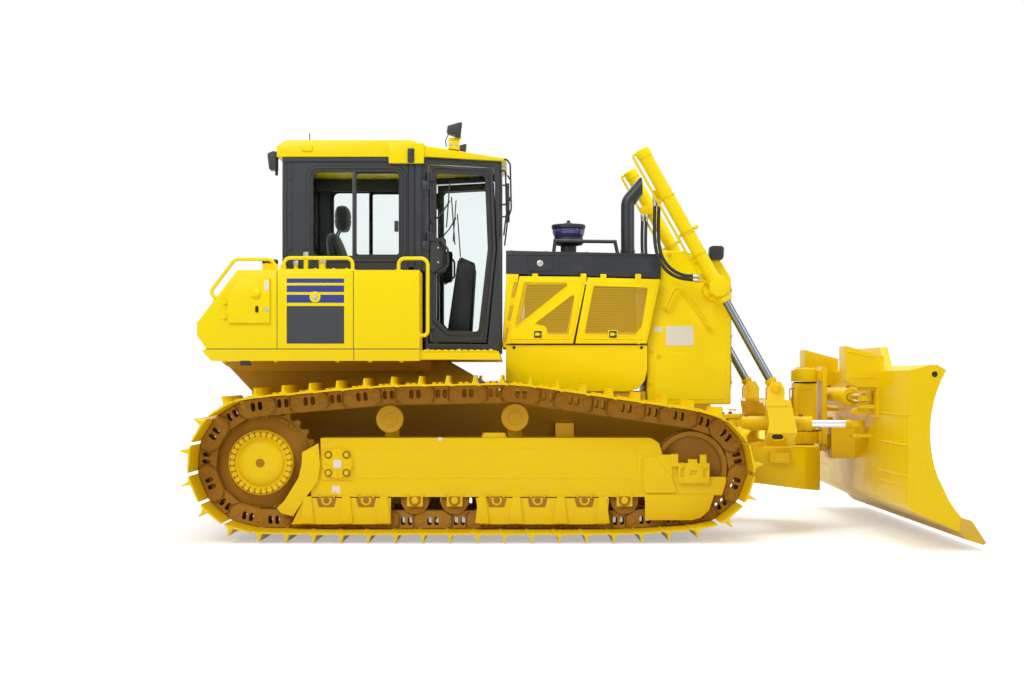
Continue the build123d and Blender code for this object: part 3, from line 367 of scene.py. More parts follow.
def placed(name, mesh, materials, body, nodes=(), smooth=35.0):
    """The finished mesh as an object at the origin that rides on its body."""
    for material in materials:
        mesh.materials.append(material)
    mesh.shade_smooth()
    mesh.set_sharp_from_angle(angle=radians(smooth))
    piece = bpy.data.objects.new(name, mesh)
    bpy.context.scene.collection.objects.link(piece)
    if nodes:
        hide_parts(*nodes)
    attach(piece, body)
    return piece


def body_of_node(node):
    for body, nodes in BODY_NODES.items():
        if node in nodes:
            return body


def softened(node, material, width):
    """The CAD solid with its edges rounded."""
    source = frame["nodes"][node]
    bm = bmesh.new()
    bm.from_mesh(source.data)
    bmesh.ops.remove_doubles(bm, verts=bm.verts, dist=1e-5)
    bmesh.ops.dissolve_limit(bm, angle_limit=radians(1), verts=bm.verts, edges=bm.edges)
    sharp = [e for e in bm.edges if len(e.link_faces) == 2 and e.calc_face_angle(0) > radians(24)]
    bmesh.ops.bevel(bm, geom=sharp, offset=width * MM, segments=2, profile=0.6, affect="EDGES",
                    clamp_overlap=True)
    mesh = bpy.data.meshes.new(node + "_skin")
    bm.to_mesh(mesh)
    bm.free()
    placed(node + "_skin", mesh, (material,), body_of_node(node), (node,))


# ------------------------------------------------------------------ repeated fittings
def nodes_tree(name, inputs):
    """A geometry tree with a mesh of places coming in, named inputs and a mesh going out."""
    tree = bpy.data.node_groups.new(name, "GeometryNodeTree")
    tree.interface.new_socket("Places", in_out="INPUT", socket_type="NodeSocketGeometry")
    for title, kind, value in inputs:
        socket = tree.interface.new_socket(title, in_out="INPUT", socket_type=kind)
        if value is not None:
            socket.default_value = value
    tree.interface.new_socket("Mesh", in_out="OUTPUT", socket_type="NodeSocketGeometry")
    return tree, tree.nodes.new("NodeGroupInput"), tree.nodes.new("NodeGroupOutput")


def fastener_tree():
    """Hexagon heads on washers at every point, each along the point's aim."""
    tree, given, out = nodes_tree("fasteners", (
        ("Head Radius", "NodeSocketFloat", 0.012), ("Head Height", "NodeSocketFloat", 0.009),
        ("Washer Radius", "NodeSocketFloat", 0.017), ("Finish", "NodeSocketMaterial", None)))
    nodes, links = tree.nodes, tree.links
    join = nodes.new("GeometryNodeJoinGeometry")
    for sides, radius, height in ((6, "Head Radius", "Head Height"), (16, "Washer Radius", None)):
        body = nodes.new("GeometryNodeMeshCylinder")
        body.inputs["Vertices"].default_value = sides
        links.new(given.outputs[radius], body.inputs["Radius"])
        body.inputs["Depth"].default_value = 0.005
        moved = nodes.new("GeometryNodeTransform")
        links.new(body.outputs["Mesh"], moved.inputs["Geometry"])
        if height:
            links.new(given.outputs[height], body.inputs["Depth"])
            up = nodes.new("ShaderNodeCombineXYZ")
            links.new(calculated(tree, "MULTIPLY", given.outputs[height], 0.5), up.inputs["Z"])
            links.new(up.outputs[0], moved.inputs["Translation"])
        links.new(moved.outputs["Geometry"], join.inputs["Geometry"])
    aim = nodes.new("GeometryNodeInputNamedAttribute")
    aim.data_type = "FLOAT_VECTOR"
    aim.inputs["Name"].default_value = "aim"
    turn = nodes.new("FunctionNodeAlignRotationToVector")
    turn.axis = "Z"
    links.new(aim.outputs["Attribute"], turn.inputs["Vector"])
    spread = nodes.new("GeometryNodeInstanceOnPoints")
    links.new(given.outputs["Places"], spread.inputs["Points"])
    links.new(join.outputs["Geometry"], spread.inputs["Instance"])
    links.new(turn.outputs["Rotation"], spread.inputs["Rotation"])
    realized(tree, spread.outputs["Instances"], given, out)
    return tree


def realized(tree, instances, given, out):
    real = tree.nodes.new("GeometryNodeRealizeInstances")
    coat = tree.nodes.new("GeometryNodeSetMaterial")
    tree.links.new(instances, real.inputs["Geometry"])
    tree.links.new(real.outputs["Geometry"], coat.inputs["Geometry"])
    tree.links.new(given.outputs["Finish"], coat.inputs["Material"])
    tree.links.new(coat.outputs["Geometry"], out.inputs["Mesh"])


def pattern_tree():
    """The template object at every point, turned by the point's own angles."""
    tree, given, out = nodes_tree("pattern", (
        ("Template", "NodeSocketObject", None), ("Width", "NodeSocketFloat", 1.0),
        ("Finish", "NodeSocketMaterial", None)))
    nodes, links = tree.nodes, tree.links
    shape = nodes.new("GeometryNodeObjectInfo")
    links.new(given.outputs["Template"], shape.inputs["Object"])
    turn = nodes.new("GeometryNodeInputNamedAttribute")
    turn.data_type = "FLOAT_VECTOR"
    turn.inputs["Name"].default_value = "aim"
    spread = nodes.new("GeometryNodeInstanceOnPoints")
    size = nodes.new("ShaderNodeCombineXYZ")
    size.inputs["X"].default_value = 1.0
    size.inputs["Z"].default_value = 1.0
    links.new(given.outputs["Width"], size.inputs["Y"])
    rotation = nodes.new("FunctionNodeEulerToRotation")
    links.new(turn.outputs["Attribute"], rotation.inputs["Euler"])
    links.new(given.outputs["Places"], spread.inputs["Points"])
    links.new(shape.outputs["Geometry"], spread.inputs["Instance"])
    links.new(rotation.outputs["Rotation"], spread.inputs["Rotation"])
    links.new(size.outputs[0], spread.inputs["Scale"])
    realized(tree, spread.outputs["Instances"], given, out)
    return tree


FASTENERS = fastener_tree()
PATTERN = pattern_tree()


def grown_mesh(name, tree, points, aims, **inputs):
    """Runs a tree on points in millimetres and returns the plain mesh."""
    places = bpy.data.meshes.new(name + " places")
    places.from_pydata([Vector(p) * MM for p in points], [], [])
    aim = places.attributes.new("aim", "FLOAT_VECTOR", "POINT")
    for i, value in enumerate(aims):
        aim.data[i].vector = value
    holder = bpy.data.objects.new(name + " places", places)
    bpy.context.scene.collection.objects.link(holder)
    modifier = holder.modifiers.new("grow", "NODES")
    modifier.node_group = tree
    for item in tree.interface.items_tree:
        if item.in_out == "INPUT" and item.name in inputs:
            modifier[item.identifier] = inputs[item.name]
    bpy.context.view_layer.update()
    ready = holder.evaluated_get(bpy.context.evaluated_depsgraph_get())
    mesh = bpy.data.meshes.new_from_object(ready)
    bpy.data.objects.remove(holder)
    return mesh


def bolts(name, body, places, aim, radius=11.0, material=paint, washer=1.45):
    """Bolt heads at places in millimetres; aim is one direction or a list with one for each."""
    aims = aim if isinstance(aim, list) else [aim] * len(places)
    mesh = grown_mesh(name, FASTENERS, places, aims, **{
        "Head Radius": radius * MM, "Head Height": radius * 0.75 * MM, "Washer Radius": radius * washer * MM,
        "Finish": material})
    placed(name, mesh, (), body, (), 30.0)


def plate_mesh(outlines, thickness, round_=1.5):
    """A flat plate with holes: outlines in millimetres, the first one outside. Lies in XY about Z = 0."""
    curve = bpy.data.curves.new("plate", "CURVE")
    curve.dimensions = "2D"
    curve.fill_mode = "BOTH"
    curve.extrude = thickness / 2 - round_
    curve.bevel_depth = round_
    curve.bevel_resolution = 0
    curve.offset = -round_
    for points in outlines:
        spline = curve.splines.new("POLY")
        spline.points.add(len(points) - 1)
        for spot, (u, v) in zip(spline.points, points):
            spot.co = (u, v, 0, 1)
        spline.use_cyclic_u = True
    holder = bpy.data.objects.new("plate", curve)
    bpy.context.scene.collection.objects.link(holder)
    mesh = bpy.data.meshes.new_from_object(holder)
    bpy.data.objects.remove(holder)
    bpy.data.curves.remove(curve)
    part = bmesh.new()
    part.from_mesh(mesh)
    bpy.data.meshes.remove(mesh)
    bmesh.ops.remove_doubles(part, verts=part.verts, dist=0.01)
    bmesh.ops.recalc_face_normals(part, faces=part.faces)
    return part


def side_plate(shape, outlines, y0, y1, round_=1.5, material=0):
    """Adds a plate with holes, standing in a side view of (X, Z), from Y = y0 to y1."""
    part = plate_mesh(outlines, abs(y1 - y0), round_)
    part.transform(Matrix(((1, 0, 0, 0), (0, 0, 1, (y0 + y1) / 2), (0, 1, 0, 0), (0, 0, 0, 1))))
    bmesh.ops.recalc_face_normals(part, faces=part.faces)
    shape.take(part, material)


def oblong(x, z, width, height, count=5):
    """A slot with round ends, standing up."""
    r = width / 2
    top = [(x + r * cos(pi * i / count),
            z + height / 2 - r + r * sin(pi * i / count)) for i in range(count + 1)]
    return top + [(2 * x - u, 2 * z - v) for u, v in top]


def rounded(points, radius, count=4):
    """A polygon with round corners; radius is one number or one for each corner."""
    radii = radius if isinstance(radius, (list, tuple)) else [radius] * len(points)
    found = []
    for i, corner in enumerate(points):
        p = Vector((*corner, 0))
        a = Vector((*points[i - 1], 0)) - p
        b = Vector((*points[(i + 1) % len(points)], 0)) - p
        angle = a.angle(b)
        if radii[i] <= 0 or angle > radians(178):
            found.append(tuple(corner))
            continue
        cut = min(radii[i] / tan(angle / 2), a.length / 2.05, b.length / 2.05)
        r = cut * tan(angle / 2)
        a.normalize()
        b.normalize()
        centre = p + (a + b).normalized() * (r / sin(angle / 2))
        start, end = p + a * cut - centre, p + b * cut - centre
        for k in range(count + 1):
            spot = centre + start.slerp(end, k / count).normalized() * r
            found.append((spot.x, spot.y))
    return found


def ring(x, z, radius, count=24):
    return [(x + radius * cos(2 * pi * i / count),
             z + radius * sin(2 * pi * i / count)) for i in range(count)]


# ------------------------------------------------------------------ tracks
TRACK_Y = 1025.0
PITCH = 203.2
LINK_COUNT = 45
PIN_TO_SHOE = 58.0
SHOE_PLATE = 13.0
LINK_INNER = 62.0         # from the track's middle to the near face of either strand of links
SPROCKET = (-2372.0, 587.0)
TEETH = 27
SPROCKET_R = PITCH / 2 / sin(2 * pi / TEETH)
IDLER = (917.303, 549.0)
CARRIERS = ((-1390.0, 921.0, 190.0), (-432.0, 933.0, 194.0))
ROLLER_X = (-1868.0, -1566.0, -1196.0, -893.0, -571.0, -260.0, 98.0, 404.0)
ROLLER_Z = 300.0
TRACK_CIRCLES = ((*SPROCKET, SPROCKET_R), *CARRIERS, (*IDLER, 378.0), (404.0, 336.0, 200.0),
                 (-1868.0, 336.0, 200.0))


def track_spans():
    """Arcs and lines of the pins' path, clockwise."""
    count = len(TRACK_CIRCLES)
    headings = []
    for i, (x, z, r) in enumerate(TRACK_CIRCLES):
        nx, nz, nr = TRACK_CIRCLES[(i + 1) % count]
        headings.append(atan2(nz - z, nx - x) - asin((r - nr) / hypot(nx - x, nz - z)))
    spans = []
    for i, (x, z, r) in enumerate(TRACK_CIRCLES):
        spans.append((r * ((headings[i - 1] - headings[i]) % (2 * pi)), (x, z, r, headings[i - 1] + pi / 2)))
        n = headings[i] + pi / 2
        nx, nz, nr = TRACK_CIRCLES[(i + 1) % count]
        start = (x + r * cos(n), z + r * sin(n))
        end = (nx + nr * cos(n), nz + nr * sin(n))
        spans.append((hypot(end[0] - start[0], end[1] - start[1]), (*start, headings[i])))
    return spans


def track_pins():
    """The pins, one pitch apart in a straight line."""
    spans = track_spans()
    whole = sum(run for run, _ in spans)

    def at(s):
        s %= whole
        for run, data in spans:
            if s <= run:
                break
            s -= run
        if len(data) == 4:
            x, z, r, first = data
            return x + r * cos(first - s / r), z + r * sin(first - s / r)
        x, z, heading = data
        return x + s * cos(heading), z + s * sin(heading)

    places = [0.0]
    for _ in range(LINK_COUNT - 1):
        x, z = at(places[-1])
        low, high = places[-1] + PITCH * 0.9, places[-1] + PITCH * 1.2
        for _ in range(30):
            middle = (low + high) / 2
            px, pz = at(middle)
            low, high = (middle, high) if hypot(px - x, pz - z) < PITCH else (low, middle)
        places.append(low)
    return [at(s) for s in places]


PINS = track_pins()
LINKS = []
for i, (x, z) in enumerate(PINS):
    nx, nz = PINS[(i + 1) % LINK_COUNT]
    LINKS.append(((x + nx) / 2, (z + nz) / 2, atan2(nz - z, nx - x)))


def template(name, shape):
    """A mesh that a pattern copies; it isn't a piece of its own."""
    bmesh.ops.scale(shape.bm, vec=(MM, MM, MM), verts=shape.bm.verts)
    mesh = bpy.data.meshes.new(name)
    shape.bm.to_mesh(mesh)
    shape.bm.free()
    mesh.shade_smooth()
    mesh.set_sharp_from_angle(angle=radians(32))
    piece = bpy.data.objects.new(name, mesh)
    bpy.context.scene.collection.objects.link(piece)
    return piece


def shoe_template():
    """One shoe about the middle of its link, Z outwards: plate with a curved lip and a tapered lug."""
    half = PITCH / 2
    base = PIN_TO_SHOE
    profile = [(-half + 2, base), (half - 26, base), (half - 8, base - 5), (half + 6, base - 4),
               (half + 4, base + 6), (half - 16, base + 14), (half - 24, base + 16), (half - 34, base + 40),
               (half - 36, base + 76), (half - 46, base + 76), (half - 54, base + 38), (half - 62, base + 16),
               (-half + 30, base + 13), (-half + 12, base + 12), (-half + 2, base + 8)]
    shape = Shape()
    shape.prism(profile, "Y", -457, 457, 0)
    return template("shoe", shape)


def link_template(outer):
    """One side's link about its middle: plate with two slots, raised rim, pin ends."""
    shape = Shape()
    half = PITCH / 2
    slots = [oblong(u, -2, 33, 66) for u in (-27, 27)]
    body = rounded([(-half - 44, -40), (-half + 6, -84.5), (half - 6, -84.5), (half + 44, -40),
                    (half + 44, 30), (half + 14, 57), (-half - 14, 57), (-half - 44, 30)], 14, 2)
    web = LINK_INNER + (32 if outer else 27)
    side_plate(shape, [body, *slots], LINK_INNER, web, 2)
    if outer:
        rim = rounded([(-half - 40, -38), (-half + 20, -80), (half - 20, -80), (half + 40, -38),
                       (half + 40, 28), (half + 10, 54), (-half - 10, 54), (-half - 40, 28)], 18, 2)
        side_plate(shape, [rim, *slots], web, 107, 3)
    else:
        fan = rounded([(-78, -84), (78, -84), (44, -46), (50, -30), (50, 54), (-50, 54), (-50, -30),
                       (-44, -46)],
                      6, 1)
        side_plate(shape, [fan, *slots], web, 103, 3)
    return template("outer link" if outer else "inner link", shape)


def pin_template():
    shape = Shape()
    shape.lathe([(27, -112), (31, -107), (31, 107), (27, 112), (24, 112), (22, 109), (0, 109)], (0, 0, 0),
                (0, 1, 0), 16)
    return template("pin", shape)


def tracks():
    """Shoes, links and pins in their loops; each side one piece."""
    shoe, wide, narrow, pin = shoe_template(), link_template(True), link_template(False), pin_template()
    for side, s in SIDES:
        parts = []
        at = [(x, s * TRACK_Y, z) for x, z, _ in LINKS]
        # a template's outward Z is the loop's outward side, and its X runs with the chain
        turns = [(0, -heading, 0) for _, _, heading in LINKS]
        parts.append(grown_mesh("shoes", PATTERN, at, turns, Template=shoe, Width=1.0, Finish=paint))
        # the links, and the pins below, are in the brown of painted shade
        for strand in (1, -1):
            # the chain closes on two wide links, the last a little further in than its neighbour
            for shape, pick, snug in ((wide, range(0, LINK_COUNT - 1, 2), 1.0),
                                      (narrow, range(1, LINK_COUNT, 2), 1.0), (wide, [LINK_COUNT - 1], 0.98)):
                parts.append(grown_mesh("links", PATTERN, [at[i] for i in pick], [turns[i] for i in pick],
                                        Template=shape, Width=strand * snug, Finish=yellow_painted_shade))
        pins = [(x, s * TRACK_Y, z) for x, z in PINS]
        parts.append(grown_mesh("pins", PATTERN, pins, turns, Template=pin, Width=1.0, Finish=yellow_painted_shade))
        heads, aims = [], []
        for x, z, heading in LINKS:
            out = Vector((-sin(heading), 0, cos(heading)))
            along = Vector((cos(heading), 0, sin(heading)))
            for u in (-52, -8):
                for y in (-130, -62, 62, 130):
                    place = Vector((x, s * TRACK_Y + y, z)) + along * u
                    heads.append(place + out * (PIN_TO_SHOE + SHOE_PLATE))
                    aims.append(out)
        parts.append(grown_mesh("shoe bolts", FASTENERS, heads, aims, **{
            "Head Radius": 0.016, "Head Height": 0.014, "Washer Radius": 0.02, "Finish": paint}))
        joined(f"track_belt_{side}", parts, "machine", f"track_{side}")
    for spare in (shoe, wide, narrow, pin):
        bpy.data.objects.remove(spare)


def joined(name, meshes, body, *nodes, smooth=32.0):
    """Several meshes with materials of their own as one piece."""
    bm = bmesh.new()
    materials = []
    for mesh in meshes:
        first = len(bm.faces)
        bm.from_mesh(mesh)
        bm.faces.ensure_lookup_table()
        for face in bm.faces[first:]:
            own = mesh.materials[face.material_index]
            if own not in materials:
                materials.append(own)
            face.material_index = materials.index(own)
        bpy.data.meshes.remove(mesh)
    # links copied at a negative width, the ones on each track's -Y side, come out inside out
    bmesh.ops.recalc_face_normals(bm, faces=bm.faces)
    mesh = bpy.data.meshes.new(name)
    bm.to_mesh(mesh)
    bm.free()
    return placed(name, mesh, materials, body, nodes, smooth)


# ------------------------------------------------------------------ studio
ROOM_LIGHT = 0.45         # strength of the white room as a light on the machine


def seen_directly(tree):
    """1 where the camera, a mirror or a pane looks at the surface, 0 where it lights others."""
    path = tree.nodes.new("ShaderNodeLightPath")
    clear = calculated(tree, "MAXIMUM", path.outputs["Is Glossy Ray"], path.outputs["Is Transmission Ray"])
    return calculated(tree, "MAXIMUM", path.outputs["Is Camera Ray"], clear)


def studio():
    """Camera, white room, four soft lamps and a pale floor."""
    scene = bpy.context.scene
    scene.view_settings.view_transform = "Standard"
    eye = bpy.data.cameras.new("eye")
    eye.lens = 58.04
    eye.sensor_width = 36.0
    eye.shift_x = -0.0029
    eye.shift_y = 0.0356
    eye.clip_end = 500.0
    camera = bpy.data.objects.new("eye", eye)
    camera.location = (-0.432, -13.78, 1.235)
    camera.rotation_euler = (radians(90), 0, 0)
    scene.collection.objects.link(camera)
    scene.camera = camera
    world = bpy.data.worlds.new("soft room")
    scene.world = world
    world.use_nodes = True
    tree = world.node_tree
    back = tree.nodes["Background"]
    tree.links.new(ramp(tree, seen_directly(tree), 0.0, 1.0, ROOM_LIGHT, 1.0), back.inputs["Strength"])
    back.inputs["Color"].default_value = (1, 1, 1, 1)
    for name, place, aim, size, power in (
            ("key", (-5.5, -9.0, 8.5), (0, 0, 1.2), 6.0, 560.0),
                                          ("top", (1.0, 0.0, 9.5), (0.3, 0, 1.0), 7.0, 520.0),
            ("front", (9.0, -6.0, 4.5), (1.0, 0, 1.0), 4.0, 160.0),
                                          ("back", (-2.0, 10.0, 7.0), (0, 0, 1.0), 6.0, 260.0)):
        lamp = bpy.data.lights.new(name, "AREA")
        lamp.shape = "DISK"
        lamp.size = size
        lamp.energy = power
        holder = bpy.data.objects.new(name, lamp)
        holder.location = place
        holder.rotation_euler = (Vector(aim) - Vector(place)).to_track_quat("-Z", "Y").to_euler()
        scene.collection.objects.link(holder)
    floor_mesh = bpy.data.meshes.new("studio_floor")
    floor_mesh.from_pydata([(-150, -150, 0), (150, -150, 0), (150, 150, 0), (-150, 150, 0)], [],
                           [(0, 1, 2, 3)])
    floor = bpy.data.objects.new("studio_floor", floor_mesh)
    scene.collection.objects.link(floor)
    floor.location.z = -0.001
    sheet = bpy.data.materials.new("studio floor")
    sheet.use_nodes = True
    tree = sheet.node_tree
    shader = tree.nodes["Principled BSDF"]
    shader.inputs["Base Color"].default_value = (0.8, 0.8, 0.8, 1)
    shader.inputs["Roughness"].default_value = 0.9
    shader.inputs["Specular IOR Level"].default_value = 0.0
    away = tree.nodes.new("ShaderNodeVectorMath")
    away.operation = "LENGTH"
    tree.links.new(tree.nodes.new("ShaderNodeTexCoord").outputs["Object"], away.inputs[0])
    # the floor keeps the shadow under the machine and fades to plain white further out
    glow = calculated(tree, "MULTIPLY", seen_directly(tree),
                      ramp(tree, away.outputs["Value"], 3.0, 12.0, 0.42, 0.9))
    tree.links.new(glow, shader.inputs["Emission Strength"])
    shader.inputs["Emission Color"].default_value = (1, 1, 1, 1)
    floor_mesh.materials.append(sheet)


# ------------------------------------------------------------------ undercarriage
SPROCKET_PROFILE = [(0, -60), (380, -60), (385, -50), (385, 30), (374, 40), (268, 70), (250, 74), (248, 142),
                    (241, 150), (198, 150), (192, 143), (181, 143), (177, 152), (160, 170), (118, 182),
                    (60, 186), (30, 185), (25, 178), (0, 178)]
IDLER_PROFILE = [(0, -118), (66, -118), (72, -108), (72, -62), (196, -50), (226, -60), (240, -100),
                 (252, -107), (274, -107), (278, -102), (278, -48), (292, -42), (292, 42), (278, 48),
                 (278, 102), (274, 107), (252, 107), (240, 100), (226, 60), (196, 50), (72, 62), (72, 108),
                 (66, 118), (0, 118)]
ROLLER_PROFILE = [(0, -146), (28, -146), (33, -140), (36, -126), (90, -124), (104, -123), (108, -119),
                  (108, -114), (100, -110), (79, -106), (78, -44), (62, -34), (62, 34), (78, 44), (79, 106),
                  (100, 110), (108, 114), (108, 119), (104, 123), (94, 124), (90, 119), (66, 119), (62, 124),
                  (40, 126), (33, 140), (28, 146), (0, 146)]
CARRIER_PROFILE = [(0, -112), (70, -112), (75, -106), (75, 100), (96, 113), (105, 118), (105, 126),
                   (100, 131), (62, 131), (58, 127), (46, 127), (42, 131), (8, 131), (6, 134), (0, 134)]


# one tooth: depth below the pins' circle, and angle from the tooth's middle
TOOTH = ((52, -0.088), (40, -0.062), (20, -0.04), (15, -0.02), (15, 0.02), (20, 0.04), (40, 0.062),
         (52, 0.088))


def wheels():
    """Sprockets on their final drives, idlers, track rollers and carrier rollers."""
    x, z = SPROCKET
    phase = atan2(PINS[0][1] - z, PINS[0][0] - x)
    teeth = []
    for i in range(TEETH):
        a = phase + (i + 0.5) * 2 * pi / TEETH
        for depth, turn in TOOTH:
            r = SPROCKET_R - depth
            teeth.append((x + r * cos(a + turn), z + r * sin(a + turn)))
    # sprockets and idlers in the brown of painted shade, the sprockets' hubs in the yellow paint
    drives, spin = Shape(yellow_painted_shade, paint), Shape(yellow_painted_shade)
    side_plate(drives, [teeth, ring(x, z, 330, 48)], -TRACK_Y - 34, -TRACK_Y + 34, 5)
    drives.lathe(SPROCKET_PROFILE[:6] + [(0, 70)], (x, -TRACK_Y, z), OUT, 56)
    drives.lathe([(0, 66), (250, 66)] + SPROCKET_PROFILE[6:], (x, -TRACK_Y, z), OUT, 56, 1)
    drives.lathe([(0, 0), (22, 0), (22, 4), (17, 9), (0, 9)], (x + 58, -TRACK_Y - 168, z - 112), OUT, 6, 1)
    drives.lathe([(200, 149.5), (239, 149.5), (239, 152), (200, 152)], (x, -TRACK_Y, z), OUT, 56, 0, True)
    drives.lathe([(0, 185), (34, 183), (34, 187.5), (0, 187.5)], (x, -TRACK_Y, z), OUT, 24, 0)
    for radius, along in ((8, 190), (16, 187)):
        drives.lathe([(0, 0), (radius, 0), (radius, 3), (0, 3)], (x, -TRACK_Y - along + 8, z), OUT, 16, 1)
    spin.lathe(IDLER_PROFILE, (IDLER[0], -TRACK_Y, IDLER[1]), OUT, 48)
    # track rollers in the brown of painted shade, carrier rollers in the hull's darkened yellow, also painted
    # shade
    rollers = Shape(yellow_painted_shade, hull)
    for roller_x in ROLLER_X:
        rollers.lathe(ROLLER_PROFILE, (roller_x, -TRACK_Y, ROLLER_Z), OUT, 28)
    for roller_x, roller_z, _ in CARRIERS:
        rollers.lathe(CARRIER_PROFILE, (roller_x, -TRACK_Y, roller_z), OUT, 32, 1)
    for shape in (drives, spin, rollers):
        shape.mirrored()
    drives.piece("final_drives", "machine", "sprockets")
    spin.piece("idler_wheels", "machine", "idlers")
    rollers.piece("roller_wheels", "machine", "rollers")
    hub = [(x + 219 * cos(2 * pi * i / 30), -TRACK_Y - 150,
            z + 217 * sin(2 * pi * i / 30)) for i in range(30)]
    turns = [phase + (i + k) * 2 * pi / TEETH for i in range(TEETH) for k in (0.3, 0.7) if i % 3]
    rim = [(x + 352 * cos(a), -TRACK_Y - 46, z + 352 * sin(a)) for a in turns]
    both_sides_bolts("hub_bolts", "machine", hub, OUT, 18.0, paint, 1.12)
    # the rim bolts in the brown of painted shade
    both_sides_bolts("rim_bolts", "machine", rim, OUT, 14.0, yellow_painted_shade, 1.2)


def both_sides_bolts(name, body, places, aim, radius=11.0, material=paint, washer=1.45):
    """Bolt heads on the right-hand side and the same ones on the left."""
    aims = aim if isinstance(aim, list) else [aim] * len(places)
    bolts(name, body, places + [(x, -y, z) for x, y, z in places], aims + [(a, -b, c) for a, b, c in aims],
          radius, material, washer)


FRAME_Y = -1180.0
GUARD_STEP = 25.0         # the rock guards stand out this far from the frame
HIDDEN_ROLLERS = (-1868, -1566, -571, -260, 98)   # X of the rollers that the guards cover
PIVOT_CAP = (-1784.0, 581.0)


def cup(x, z, radius, top):
    """A plate with a round underside and a straight top edge, as (X, Z)."""
    low = [(x + radius * cos(pi + pi * i / 12), z + radius * sin(pi + pi * i / 12)) for i in range(13)]
    return low + [(x + radius, top), (x - radius, top)]


def frame_fittings():
    """Pivot caps, roller shaft ends, blank plates and covers on the roller frames' outer faces."""
    shape = Shape(paint, label_white, yellow_painted_shade)
    x, z = PIVOT_CAP
    plate = rounded([(x - 122, z - 128), (x + 122, z - 128), (x + 122, z + 60), (x + 96, z + 122),
                     (x - 96, z + 122), (x - 122, z + 60)], 18, 3)
    side_plate(shape, [plate], FRAME_Y - 9, FRAME_Y + 3, 3)
    shape.lathe([(0, 0), (116, 0), (116, 14), (108, 22), (52, 24), (46, 30), (0, 30)], (x, FRAME_Y - 6, z),
                OUT, 48)
    for turn in range(4):
        a = pi / 2 * turn
        shape.rod((x + 60 * cos(a), FRAME_Y - 26, z + 60 * sin(a)),
                  (x + 96 * cos(a), FRAME_Y - 26, z + 96 * sin(a)), 9, 10)
    for px, pz, w, h, y in ((x, z, 58, 62, -37), (-1798, 380, 60, 62, -1), (453, 594, 84, 46, -1),
                            (453, 502, 84, 46, -1), (-1004, 769, 34, 24, -1)):
        side_plate(shape,
                   [rounded([(px - w / 2, pz - h / 2), (px + w / 2, pz - h / 2), (px + w / 2, pz + h / 2),
                                    (px - w / 2, pz + h / 2)], 4, 2)], FRAME_Y + y - 1.5, FRAME_Y + y + 1,
                   0.4, 1)
    # cover with a domed top and raised plate over the track adjuster
    shape.solid([level_ring(-692, -493, -1160, -1060, 777), level_ring(-680, -505, -1150, -1070, 816)], 6)
    panel = rounded([(545, 357), (812, 357), (770, 470), (640, 640), (545, 640)], 26, 4)
    side_plate(shape, [panel], FRAME_Y - 14, FRAME_Y + 1, 4)
    side_plate(shape, [rounded([(-1640, 470), (500, 470), (500, 690), (-1640, 690)], 34, 4)], FRAME_Y - 3,
               FRAME_Y + 1, 1)
    for roller_x in ROLLER_X:
        # caps over the roller ends in the brown of painted shade
        side_plate(shape, [cup(roller_x, 300, 44, 330)], FRAME_Y - 8, FRAME_Y + 14, 3, 2)
        shape.lathe([(0, 0), (26, 0), (26, 5), (20, 9), (8, 9), (6, 5), (0, 5)], (roller_x, FRAME_Y - 8, 300),
                    OUT, 20)
    # dark panels of painted shade on the rock guards in place of openings, each with a roller shaft's cap
    for roller_x in HIDDEN_ROLLERS:
        y = FRAME_Y - GUARD_STEP
        opening = [(roller_x - 78, 322), (roller_x + 78, 322), (roller_x + 58, 250), (roller_x - 58, 250)]
        side_plate(shape, [rounded(opening, 10, 2)], y - 1.5, y + 1, 0.6, 2)
        side_plate(shape, [cup(roller_x, 304, 40, 322)], y - 8, y - 1, 2)
        shape.lathe([(0, 0), (24, 0), (24, 5), (18, 8), (8, 8), (6, 5), (0, 5)], (roller_x, y - 8, 304), OUT,
                    20, 2)
    # discs under the pivot cap's bolts in the brown of painted shade
    for u, v in ((-1, -1), (-1, 1), (1, -1), (1, 1)):
        shape.lathe([(0, 0), (31, 0), (31, 3.5), (0, 3.5)], (x + 68 * u, FRAME_Y - 27, z + 68 * v), OUT, 24,
                    2)
    shape.mirrored()
    shape.piece("frame_fittings", "machine")
    cap = [(x + u * 68, FRAME_Y - 28, z + v * 68) for u in (-1, 1) for v in (-1, 1)]
    both_sides_bolts("pivot_bolts", "machine", cap, OUT, 19.0, paint, 1.15)
    low = [(px, FRAME_Y - 2, 352) for roller_x in ROLLER_X for px in (roller_x - 62, roller_x + 62)]
    low += [(IDLER[0] + u, FRAME_Y - 30, v) for u in (-70, 60, 112) for v in (450, 570)]
    both_sides_bolts("frame_bolts", "machine", low, OUT, 12.0, paint)


def level_ring(x0, x1, y0, y1, z):
    """A rectangle with round corners, lying level."""
    return [(x, y, z) for x, y in rounded([(x0, y0), (x1, y0), (x1, y1), (x0, y1)], 30, 3)]


# ------------------------------------------------------------------ cylinders
def eye_ring(shape, centre, axis, radius, half, hole, material=0):
    """A bearing eye: a ring with small chamfers."""
    shape.lathe([(hole, -half), (radius - 5, -half), (radius, 5 - half), (radius, half - 5),
                 (radius - 5, half), (hole, half)], centre, axis, 32, material, True)


def square_neck(shape, start, direction, across, length, half, material=0):
    """A square bar with rounded edges from start along direction."""
    d, side = Vector(direction), Vector(across)
    up = d.cross(side)
    rings = [[Vector(start) + d * h + side * (u * half) + up * (v * half) for u,
              v in ((-1, -1), (1, -1), (1, 1), (-1, 1))]
             for h in (0, length)]
    shape.solid(rings, 7, material)


